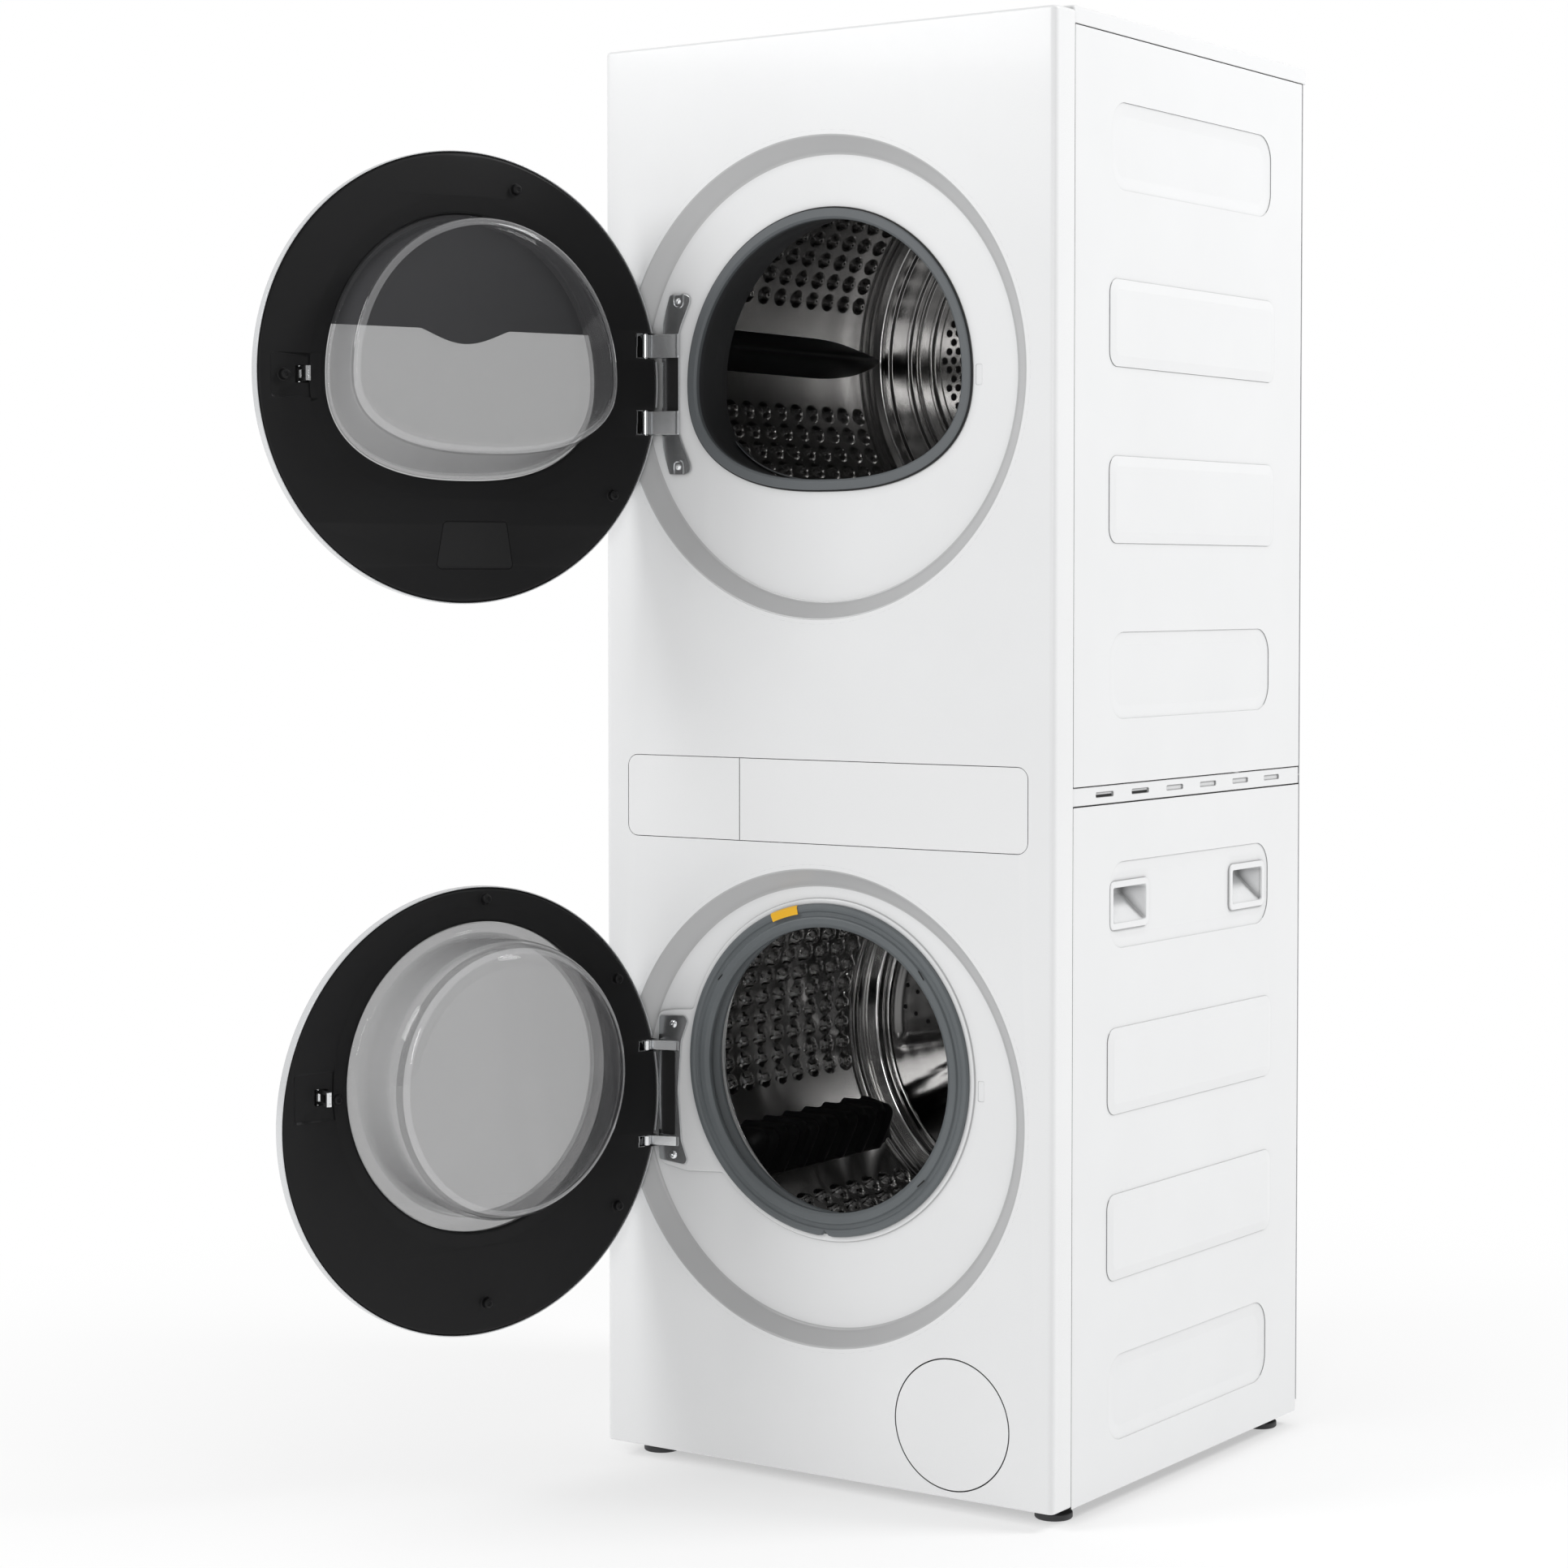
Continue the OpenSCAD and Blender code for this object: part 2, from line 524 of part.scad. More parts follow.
// Hinges, locks -------------------------------------------------------------------------------
module hinge_plate(x0, x1, z0, z1) block([x0, floor_y - 2.5, z0], [x1, floor_y - 0.05, z1]);
module hinge_arm(z, h, x1) translate([0, 0, z - h / 2]) linear_extrude(h) difference() {
    union() {
        translate([hinge_x, hinge_y]) circle(5.5);
        translate([hinge_x, hinge_y]) rotate(34) translate([0, -1.5]) square([26, 3]);
        translate([hinge_x + 18, floor_y - 4.5]) square([x1 - hinge_x - 18, 3]);
    }
    translate([hinge_x, hinge_y]) circle(pin_r + fit);
}
module bracket(plates, arms, h, x0, x1) difference() {
    union() {
        for (p = plates) hinge_plate(x0, x1, p[0], p[1]);
        hinge_plate(x0, x0 + 14, plates[1][1] - 1, plates[0][0] + 1);
        for (z = arms) hinge_arm(z, h, x0 + 8);
    }
    for (p = screw_places) ycyl(p.x, p.y, -400, 0, 2.6);
}
module hinge_brackets() color("silver") {
    bracket([[dryer_z + 66, dryer_z + 103], [dryer_z - 103, dryer_z - 66]],
            [for (a = arm_z) dryer_z + a], arm_h, -224, -190);
    bracket([[washer_z + 62, washer_z + 91], [washer_z - 84, washer_z - 62]],
            [for (a = warm_z) washer_z + a], warm_h, -234, -194);
}
module hinge_screws() color("lightgray") for (p = screw_places) {
    ycyl(p.x, p.y, floor_y - 5, floor_y - 2.6, 5.5);
    ycyl(p.x, p.y, floor_y - 5, floor_y + 9, 2);
}
module door_locks() color("whitesmoke") for (p = [dlatch, wlatch]) difference() {
    block([p.x - 10, floor_y + casing_t + 0.2, p.y - 30], [p.x + 14, floor_y + 30, p.y + 30]);
    block([p.x - 8, floor_y, p.y - 14], [p.x + 6, floor_y + 27, p.y + 14]);
}

// Doors, drawn closed and then swung open -------------------------------------------------------
module clear_of_hinge(zc, arms, h) {  // pockets for the hinge arms, and the edge turned round
    for (a = arms) block([hinge_x - 30, hinge_y - 7, zc + a - h / 2 - 0.5],
                         [hinge_x + 16, 0, zc + a + h / 2 + 0.5]);
    translate([hinge_x, hinge_y, zc - 130]) difference() {
        translate([-40, -40, 0]) cube([40, 80, 260]);
        translate([0, 0, -1]) cylinder(h = 262, r = 15.4);
    }
}
module door_shell(zc, arms, h) color("gainsboro") difference() {
    yrev(dish_x, zc) polygon([
        [glass_r, glass_y + 2.5], [glass_r + 12, glass_y + 6], [liner_r - 2, glass_y + 11],
        [liner_r + 1.5, glass_y + 16.5], [liner_r + 1.5, face_y - 0.5],
        [liner_r + 0.3, face_y - 0.5], [liner_r + 0.3, rim_floor], [180, rim_floor],
        [180, rim_floor - 3.5], [glass_r, rim_floor - 3.5]]);
    clear_of_hinge(zc, arms, h);
    block([glass_r - 1, face_y - 40, zc - 45], [glass_r + 12, rim_floor - 3, zc + 45]);
}
module door_glass(zc) color("dimgray") yrev(dish_x, zc) polygon([
    [0, glass_y], [glass_r - 12, glass_y + 1], [glass_r - 0.3, glass_y + 3],
    [glass_r - 0.3, glass_y + 7], [glass_r - 12, glass_y + 5.5], [0, glass_y + 4.5]]);
module door_liner(zc, arms, h, latch) difference() {
    union() {
        yrev(dish_x, zc) polygon([[0, face_y - 4], [liner_r - 3, face_y - 4],
            [liner_r - 3, rim_floor + 2], [liner_r, rim_floor + 2], [liner_r, face_y - 2],
            [liner_r - 2, face_y], [0, face_y]]);
        intersection() {
            block([hinge_x - 6, face_y - 12, zc - 75], [hinge_x + 26, face_y, zc + 75]);
            yrev(dish_x, zc) polygon([[0, face_y], [liner_r - 0.5, face_y],
                [liner_r - 0.5, face_y - 20], [0, face_y - 20]]);
        }
    }
    clear_of_hinge(zc, arms, h);
    translate([hinge_x, hinge_y, zc - 200]) cylinder(h = 400, r = pin_r);
    block([latch.x - 11, face_y - 10, latch.y - 11], [latch.x + 9, 0, latch.y + 11]);
}
module latch_hook(p) {
    block([p.x - 3, face_y - 9, p.y - 8], [p.x, face_y + 20, p.y + 8]);
    block([p.x - eps, face_y + 16, p.y - 8], [p.x + 3, face_y + 20, p.y + 8]);
    translate([p.x - 1.5, face_y - 7, p.y - 10.5]) cylinder(h = 21, r = 2);
}
module pegs(zc, at) for (p = at) ycyl(p.x, zc + p.y, face_y - 1, face_y + p.z, 5.5);

module dryer_door_glass() swing(dryer_open) door_glass(dryer_z);
module dryer_door_shell() swing(dryer_open) door_shell(dryer_z, arm_z, arm_h);
module dryer_door_liner() color("black") swing(dryer_open) difference() {
    union() {
        door_liner(dryer_z, arm_z, arm_h, dlatch);
        pegs(dryer_z, dryer_pegs);
    }
    bowl_slab(169.5, 181.5, 114.5, -400, -200);
}
module bowl_slab(side, top, low, y0, y1) yprism(y0, y1) translate([dmouth_x - 1.5, dryer_z])
    polygon([for (p = egg(1, 1, 48)) [side * p.x, p.y * (p.y > 0 ? top : low)]]);
module dryer_door_bowl() color("dimgray") swing(dryer_open) difference() {
    union() {
        bowl_slab(168, 180, 113, face_y - 4, face_y + 1);
        hull() {
            bowl_slab(167, 174.5, 109.5, face_y - 1, face_y + 2);
            bowl_slab(165, 173.5, 88, bowl_face - 8, bowl_face - 6);
            bowl_slab(154, 161, 75, bowl_face - 2, bowl_face);
        }
    }
    hull() {
        bowl_slab(164, 171.5, 106.5, face_y - 5, face_y + 1);
        bowl_slab(162, 170.5, 84.5, bowl_face - 10, bowl_face - 9);
        bowl_slab(150, 157, 71, bowl_face - 5, bowl_face - 4);
    }
}
module dryer_hinge_pin() color("lightgray") swing(dryer_open)
    translate([hinge_x, hinge_y, dryer_z - 66]) cylinder(h = 132, r = pin_r);
module dryer_latch_hook() color("silver") swing(dryer_open) latch_hook(dlatch);

module washer_door_glass() swing(washer_open) door_glass(washer_z);
module washer_door_shell() swing(washer_open) door_shell(washer_z, warm_z, warm_h);
module washer_door_liner() color("black") swing(washer_open) difference() {
    union() {
        door_liner(washer_z, warm_z, warm_h, wlatch);
        pegs(washer_z, washer_pegs);
    }
    ycyl(window_at.x, window_at.y, -400, -200, 173);
}
module washer_door_bowl() color("dimgray") swing(washer_open) difference() {
    union() {
        ycyl(window_at.x, window_at.y, face_y - 4, face_y + 0.5, 172.6);
        yrev(wmouth_x - 1.5, mouth_z) polygon(concat(
            [[0, face_y - 4], [162, face_y - 4], [162, face_y + 1.5], [157.5, face_y + 6],
             [153, face_y + 60]],
            [for (a = [15:15:75]) [135 + 18 * cos(a), face_y + 60 + (bowl_d - 62) * sin(a)]],
            [[135, face_y + bowl_d - 2], [0, face_y + bowl_d]]));
    }
    yrev(wmouth_x - 1.5, mouth_z) polygon(concat(
        [[0, face_y + bowl_d - 5], [135, face_y + bowl_d - 7]],
        [for (a = [75:-15:15]) [135 + 13 * cos(a), face_y + 60 + (bowl_d - 67) * sin(a)]],
        [[148, face_y + 60], [152, face_y + 6], [157, face_y - 2], [157, face_y - 5],
         [0, face_y - 5]]));
}
module washer_hinge_pin() color("lightgray") swing(washer_open)
    translate([hinge_x, hinge_y, washer_z - 66]) cylinder(h = 130, r = pin_r);
module washer_latch_hook() color("silver") swing(washer_open) latch_hook(wlatch);

front_casing();
upper_side_panels();
lower_side_panels();
middle_strips();
top_lid();
back_panels();
base_tray();
dryer_deck();
levelling_feet();
hand_grips();
control_fascia();
control_board();
drawer_housing();
detergent_drawer();
drain_filter_cover();
pump_filter_knob();
drain_pump();
washer_tub();
door_gasket();
tub_counterweight();
suspension_springs();
tub_dampers();
wash_heater();
washer_drum();
washer_lifters();
drum_spider_shaft();
motor_rotor();
motor_stator();
inlet_valves();
dispenser_hose();
dryer_front_bulkhead();
dryer_mouth_collar();
lint_filter();
dryer_rear_bulkhead();
dryer_drum();
dryer_lifters();
dryer_drum_axle();
drum_roller_left();
drum_roller_right();
dryer_motor();
motor_shaft_and_fan();
drum_belt();
blower_housing();
exhaust_duct();
air_heater();
hinge_brackets();
hinge_screws();
door_locks();
dryer_door_shell();
dryer_door_glass();
dryer_door_liner();
dryer_door_bowl();
dryer_hinge_pin();
dryer_latch_hook();
washer_door_shell();
washer_door_glass();
washer_door_liner();
washer_door_bowl();
washer_hinge_pin();
washer_latch_hook();
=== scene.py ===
import json
import math

import bmesh
import bpy
from mathutils import Matrix, Vector, geometry


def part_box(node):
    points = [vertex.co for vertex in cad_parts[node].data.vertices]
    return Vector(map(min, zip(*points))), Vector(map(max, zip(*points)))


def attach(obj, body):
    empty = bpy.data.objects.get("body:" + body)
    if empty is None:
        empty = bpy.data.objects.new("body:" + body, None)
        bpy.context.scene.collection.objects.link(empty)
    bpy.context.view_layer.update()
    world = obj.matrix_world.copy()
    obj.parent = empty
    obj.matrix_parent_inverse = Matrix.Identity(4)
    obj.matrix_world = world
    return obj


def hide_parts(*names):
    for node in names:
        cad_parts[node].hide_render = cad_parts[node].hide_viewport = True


# A laundry tower with its two round doors open: a washer below, a tumble dryer above.
# Shapes are written in millimetres in the row frame (x to the right, y to the back, z up)
# and become metres when a piece is made.
MM = 0.001
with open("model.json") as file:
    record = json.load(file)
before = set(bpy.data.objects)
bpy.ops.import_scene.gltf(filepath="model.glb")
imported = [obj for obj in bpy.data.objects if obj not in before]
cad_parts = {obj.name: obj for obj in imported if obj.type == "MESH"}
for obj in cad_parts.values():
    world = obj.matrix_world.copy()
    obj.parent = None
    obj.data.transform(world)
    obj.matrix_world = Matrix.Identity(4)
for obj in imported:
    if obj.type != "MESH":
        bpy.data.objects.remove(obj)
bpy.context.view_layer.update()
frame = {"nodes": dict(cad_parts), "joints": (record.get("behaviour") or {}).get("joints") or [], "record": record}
JOINTS = {j["name"]: j for j in frame["joints"]}
SLOT_OF = {p["node"]: p["material_slot"] for p in frame["record"]["subparts"]}


def box(node):
    lo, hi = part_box(node)
    return Vector(lo) / MM, Vector(hi) / MM


def middle(node):
    lo, hi = box(node)
    return (lo + hi) / 2


def closed_to_rest(joint):
    """The turn from a closed door, as its pieces are drawn, to the open door at rest."""
    place = Vector(JOINTS[joint]["pos_m"]) / MM
    turn = Matrix.Rotation(-math.radians(JOINTS[joint]["range_deg"][1]), 4, "Z")
    return Matrix.Translation(place) @ turn @ Matrix.Translation(-place)


# Places that the frame gives ---------------------------------------------------------------
SWING = {"dryer": closed_to_rest("dryer_door_swing"), "washer": closed_to_rest("washer_door_swing")}
HINGE = Vector(JOINTS["dryer_door_swing"]["pos_m"]) / MM
DISH = {d: SWING[d].inverted() @ middle(d + "_door_glass") for d in SWING}
CASE_LO, CASE_HI = box("front_casing")
FRONT = CASE_LO.y
SIDE = box("lower_side_panels")[1].x - 3
GASKET = middle("door_gasket")
GASKET_R = (box("door_gasket")[1].x - box("door_gasket")[0].x) / 2 - 1
MOUTH = Vector((middle("dryer_mouth_collar").x, 0, DISH["dryer"].z))
DRUM = {"washer": middle("washer_drum"), "dryer": middle("dryer_drum")}
WINDOW = Vector((GASKET.x - 7, 0, GASKET.z - 3.5))
FILTER = middle("drain_filter_cover")
PANEL_LO = box("detergent_drawer")[0]
PANEL_HI = box("control_fascia")[1]

# Sizes in millimetres ----------------------------------------------------------------------
DISH_R, DISH_FLOOR_R, DISH_DEPTH = 268, 250, 18
FLOOR = FRONT + DISH_DEPTH          # the flat floor of a dish
FACE = FRONT + 7                    # inner face of a closed door
LINER_R = 250
MOUTH_R, MOUTH_LOW, RIM = 190, 125, 12.6
ARMS = {"dryer": ((44, 27), (-44, 27)), "washer": ((54, 11), (-57, 11))}
LATCH = {"dryer": (194.5, 1249), "washer": (199, 468)}
PEGS = {
    "dryer": ((-70, 212, 7), (214, -3, 7), (-195, -128, 7)),
    "washer": ((-15, 237, 7), (-196, 135, 7), (-196, -127, 7), (-15, -216, 7), (176, 30, 3)),
}
UPPER_PADS = ((921, -1), (1114.5, 1), (1308, 1), (1501.5, -1))   # height, raised or sunk
LOWER_PADS = ((119.5, -1), (299.5, 1), (484, 1), (667.5, -1))
GRIP_Y = (-127, 161)
GRIP_Z, GRIP_W, GRIP_H = 667, 90, 54
WASHER_ARMS = (212, 332, 92)        # angles of the arms of the back wall, and of the lifters
WASHER_POCKETS = (152, 272, 32)     # and of the perforated pockets between them
SEAM = 3.9                          # from the front casing back to a side panel's edge
START, END, BOTH = (True, False), (False, True), (True, True)   # which ends of a loft are capped


# Outlines and paths ------------------------------------------------------------------------
def circle(cx, cz, r, n=128):
    return [(cx + r * math.cos(math.tau * i / n), cz + r * math.sin(math.tau * i / n)) for i in range(n)]


def rounded(lo, hi, r, n=8):
    """A rectangle from corner lo to corner hi with round corners, anticlockwise."""
    r = max(r, 0.05)
    out = []
    for k, (cx, cz) in enumerate(((hi[0] - r, hi[1] - r), (lo[0] + r, hi[1] - r),
                                  (lo[0] + r, lo[1] + r), (hi[0] - r, lo[1] + r))):
        for i in range(n + 1):
            a = math.pi / 2 * (k + i / n)
            out.append((cx + r * math.cos(a), cz + r * math.sin(a)))
    return out


def egg(inset, low=None, n=144):
    """The dryer mouth: a half circle above and a flattened half below."""
    r, low = MOUTH_R - inset, MOUTH_LOW - (inset if low is None else low)
    out = []
    for i in range(n):
        c, s = math.cos(math.tau * i / n), math.sin(math.tau * i / n)
        if s >= 0:
            out.append((MOUTH.x + r * c, MOUTH.z + r * s))
        else:
            out.append((MOUTH.x + r * math.copysign(abs(c) ** 0.82, c), MOUTH.z - low * (-s) ** 0.82))
    return out


def bowl_outline(side, top, low, n=144):
    """The dryer door's bowl: centred a little to the hinge side of the mouth."""
    out = []
    for x, z in egg(0, 0, n):
        dx, dz = (x - MOUTH.x) / MOUTH_R, z - MOUTH.z
        dz *= top / MOUTH_R if dz > 0 else low / MOUTH_LOW
        out.append((MOUTH.x - 1.5 + dx * side, MOUTH.z + dz))
    return out


def soften(path, steps=4, closed=False):
    """Rounds each corner that carries a third value, its radius."""
    out = []
    count = len(path)
    for i, point in enumerate(path):
        here = Vector(point[:2])
        if len(point) < 3 or (not closed and i in (0, count - 1)):
            out.append(tuple(here))
            continue
        before, after = Vector(path[i - 1][:2]), Vector(path[(i + 1) % count][:2])
        back, ahead = before - here, after - here
        turn = math.pi - back.angle(ahead)
        reach = min(point[2] * math.tan(turn / 2), 0.48 * back.length, 0.48 * ahead.length)
        a, b = here + back.normalized() * reach, here + ahead.normalized() * reach
        for k in range(steps + 1):
            t = k / steps
            out.append(tuple(a * (1 - t) ** 2 + here * 2 * t * (1 - t) + b * t * t))
    return out


def grow(outline, by):
    """Moves a smooth anticlockwise outline outwards."""
    out = []
    for i, p in enumerate(outline):
        along = Vector(outline[(i + 1) % len(outline)]) - Vector(outline[i - 1])
        out.append((p[0] + along.y / along.length * by, p[1] - along.x / along.length * by))
    return out


# Meshes ------------------------------------------------------------------------------------
class Shape:
    """Collects the points, in millimetres, and the faces of one piece."""

    def __init__(self):
        self.points, self.faces, self.paint = [], [], []

    def ring(self, points):
        start = len(self.points)
        self.points += [Vector(p) for p in points]
        return list(range(start, len(self.points)))

    def face(self, indices, paint=0):
        self.faces.append(indices)
        self.paint.append(paint)

    def bridge(self, a, b, closed=True, paint=0):
        for i in range(len(a) if closed else len(a) - 1):
            j = (i + 1) % len(a)
            self.face([a[i], a[j], b[j], b[i]], paint)

    def loft(self, loops, closed=True, cap=(False, False), paint=0, wrap=False):
        rings = [self.ring(loop) for loop in loops]
        for a, b in zip(rings, rings[1:]):
            self.bridge(a, b, closed, paint)
        if wrap:
            self.bridge(rings[-1], rings[0], closed, paint)
        if cap[0]:
            self.face(rings[0][::-1], paint)
        if cap[1]:
            self.face(rings[-1], paint)
        return rings

    def stack(self, at, steps, **how):
        """Joins outlines that lie in parallel planes; a step is an outline and its place."""
        return self.loft([[at(place)(p) for p in outline] for outline, place in steps], **how)

    def rise(self, outline, steps, **how):
        """Joins copies of an outline; a step is how far it is grown, and its y."""
        return self.stack(at_y, [(grow(outline, out) if out else outline, y) for out, y in steps], **how)

    def flat(self, place, outer, holes=(), paint=0):
        """A flat sheet with holes; place turns an outline's point into a point in space."""
        loops = [[Vector((p[0], p[1], 0)) for p in loop] for loop in (outer, *holes)]
        start = len(self.points)
        for loop in loops:
            self.points += [Vector(place(p)) for p in loop]
        for tri in geometry.tessellate_polygon(loops):
            self.face([start + i for i in tri], paint)

    def moved(self, matrix):
        self.points = [matrix @ p for p in self.points]
        return self


def at_x(x):
    return lambda p: (x, p[0], p[1])


def at_y(y):
    return lambda p: (p[0], y, p[1])


def at_z(z):
    return lambda p: (p[0], p[1], z)


def revolve(shape, centre, profile, n=128, closed=False, **how):
    """Turns a profile of (radius, y) about the line along y through the centre."""
    rings = [(circle(centre.x, centre.z, r, n), y) for r, y in profile]
    return shape.stack(at_y, rings, wrap=closed, **how)


def put(name, data):
    """Makes an object of the data, and links it to the scene."""
    obj = bpy.data.objects.new(name, data)
    bpy.context.scene.collection.objects.link(obj)
    return obj


def piece(name, shape, body, looks, replaces="", slot=None, sharp=38, soft_normals=True):
    """Makes the object, shades it, and puts it on its body. looks names its materials."""
    looks = looks.split()
    mesh = bpy.data.meshes.new(name)
    mesh.from_pydata([p * MM for p in shape.points], [], shape.faces)
    for look in looks:
        mesh.materials.append(MAT[look])
    mesh.polygons.foreach_set("material_index", shape.paint)
    mesh.polygons.foreach_set("use_smooth", [True] * len(mesh.polygons))
    mesh.validate()
    obj = put(name, mesh)
    bm = bmesh.new()
    bm.from_mesh(mesh)
    bmesh.ops.remove_doubles(bm, verts=bm.verts, dist=0.00001)
    bmesh.ops.recalc_face_normals(bm, faces=bm.faces)
    bm.to_mesh(mesh)
    bm.free()
    mesh.set_sharp_from_angle(angle=math.radians(sharp))
    if soft_normals:
        obj.modifiers.new("even_normals", "WEIGHTED_NORMAL").keep_sharp = True
    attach(obj, body)
    slot or looks[0]
    if replaces:
        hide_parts(*replaces.split())


# Materials ---------------------------------------------------------------------------------
def node_tools(owner):
    """A function that adds a node to the emptied tree of a material or world.

    Its keywords are the node's inputs, by name or as _0, _1 and so on."""
    owner.use_nodes = True
    tree = owner.node_tree
    tree.nodes.clear()

    def add(kind, settings=(), **inputs):
        node = tree.nodes.new("ShaderNode" + kind)
        for key, value in dict(settings).items():
            setattr(node, key, value)
        for key, value in inputs.items():
            socket = node.inputs[int(key[1:]) if key[0] == "_" else key.replace("_", " ")]
            if isinstance(value, bpy.types.Node):
                value = value.outputs[0]
            if isinstance(value, bpy.types.NodeSocket):
                tree.links.new(value, socket)
            else:
                socket.default_value = value
        return node

    return add


def spread(add, value, low, high, at=(0.3, 0.7), **settings):
    """Maps a texture's middle range onto low to high."""
    return add("MapRange", settings, _0=value, _1=at[0], _2=at[1], _3=low, _4=high)


def blend_colour(add, factor, a, b):
    a, b = (c if isinstance(c, bpy.types.Node) else (*c, 1) for c in (a, b))
    node = add("Mix", {"data_type": "RGBA"}, _0=factor, _7=b)
    socket = node.inputs[6]
    if isinstance(a, bpy.types.Node):
        node.id_data.links.new(a.outputs[2], socket)
    else:
        socket.default_value = a
    return node


def maths(add, operation, a, b):
    return add("Math", {"operation": operation}, _0=a, _1=b)


def around_axis(add, coords, centre):
    """Coordinates of radius and depth about a drum's axis, so that a pattern runs round it."""
    parts = add("SeparateXYZ", Vector=coords).outputs
    squares = [maths(add, "POWER", maths(add, "SUBTRACT", parts[k], centre[k] * MM), 2.0) for k in (0, 2)]
    return add("CombineXYZ", X=maths(add, "POWER", maths(add, "ADD", *squares), 0.5), Y=parts[1])


def surface(colour, rough, metal=0.0, grain=1500.0, height=0.02, blotch=0.04, gloss=0.5,
            wear=0.0, wear_colour=None, coat=0.0, stretch=(1, 1, 1), brushed=None, rough_spread=0.06,
            speck=None, crease=0.0, clear=None):
    """A moulded, painted or metal surface: tone that drifts, fine grain, and rubbed edges.

    speck is a pattern's scale and strength, crease the strength of the painted shade that darkens
    corners and creases, brushed the centre that the grain runs round, clear the alpha of a pane seen square on."""
    material = bpy.data.materials.new("look")
    add = node_tools(material)
    coords = add("TexCoord").outputs["Object"]
    drift = add("TexNoise", Vector=coords, Scale=7.0, Detail=3.0, Roughness=0.6)
    dark = tuple(c * (1 - blotch) for c in colour)
    light = tuple(min(1, c * (1 + blotch * 0.6)) for c in colour)
    tone = blend_colour(add, spread(add, drift, 0, 1), dark, light)
    if speck:
        cells = add("TexVoronoi", Vector=coords, Scale=speck[0]).outputs["Distance"]
        tone = blend_colour(add, spread(add, cells, speck[1], 0, (0.1, 0.5)), tone,
                            tuple(c * 0.45 for c in colour))
    around = coords if brushed is None else around_axis(add, coords, brushed)
    fine = add("TexNoise", Vector=add("Mapping", Vector=around, Scale=stretch), Scale=grain, Detail=4.0,
               Roughness=0.65)
    if wear:
        edge = spread(add, add("NewGeometry").outputs["Pointiness"], 0, wear, (0.53, 0.6))
        tone = blend_colour(add, edge, tone, wear_colour or light)
    # Painted shade: ambient occlusion darkens the colour in creases and corners.
    if crease:
        near = add("AmbientOcclusion", {"samples": 6}, Distance=0.011).outputs["AO"]
        tone = blend_colour(add, spread(add, near, crease, 0, (0.35, 0.93)), tone,
                            tuple(c * 0.16 for c in colour))
    shader = add("BsdfPrincipled", Metallic=metal, Specular_IOR_Level=gloss, Coat_Weight=coat,
                 Coat_Roughness=0.08, Base_Color=tone.outputs[2],
                 Roughness=spread(add, fine, max(rough - rough_spread, 0.02), rough + rough_spread),
                 Normal=add("Bump", Strength=height, Distance=0.0005, Height=fine))
    if clear is not None:
        facing = add("LayerWeight", Blend=0.35).outputs["Facing"]
        node = spread(add, facing, clear, min(1.0, clear + 0.62), (0.25, 0.95))
        node.id_data.links.new(node.outputs[0], shader.inputs["Alpha"])
    add("OutputMaterial", Surface=shader)
    return material


def smoked(colour, alpha, rough=0.04):
    """Tinted clear plastic or glass, faintly streaked, with mirror-like gloss."""
    return surface(colour, rough, grain=30, height=0.0, blotch=0.1, gloss=0.7, rough_spread=0.015,
                   coat=0.4, clear=alpha)


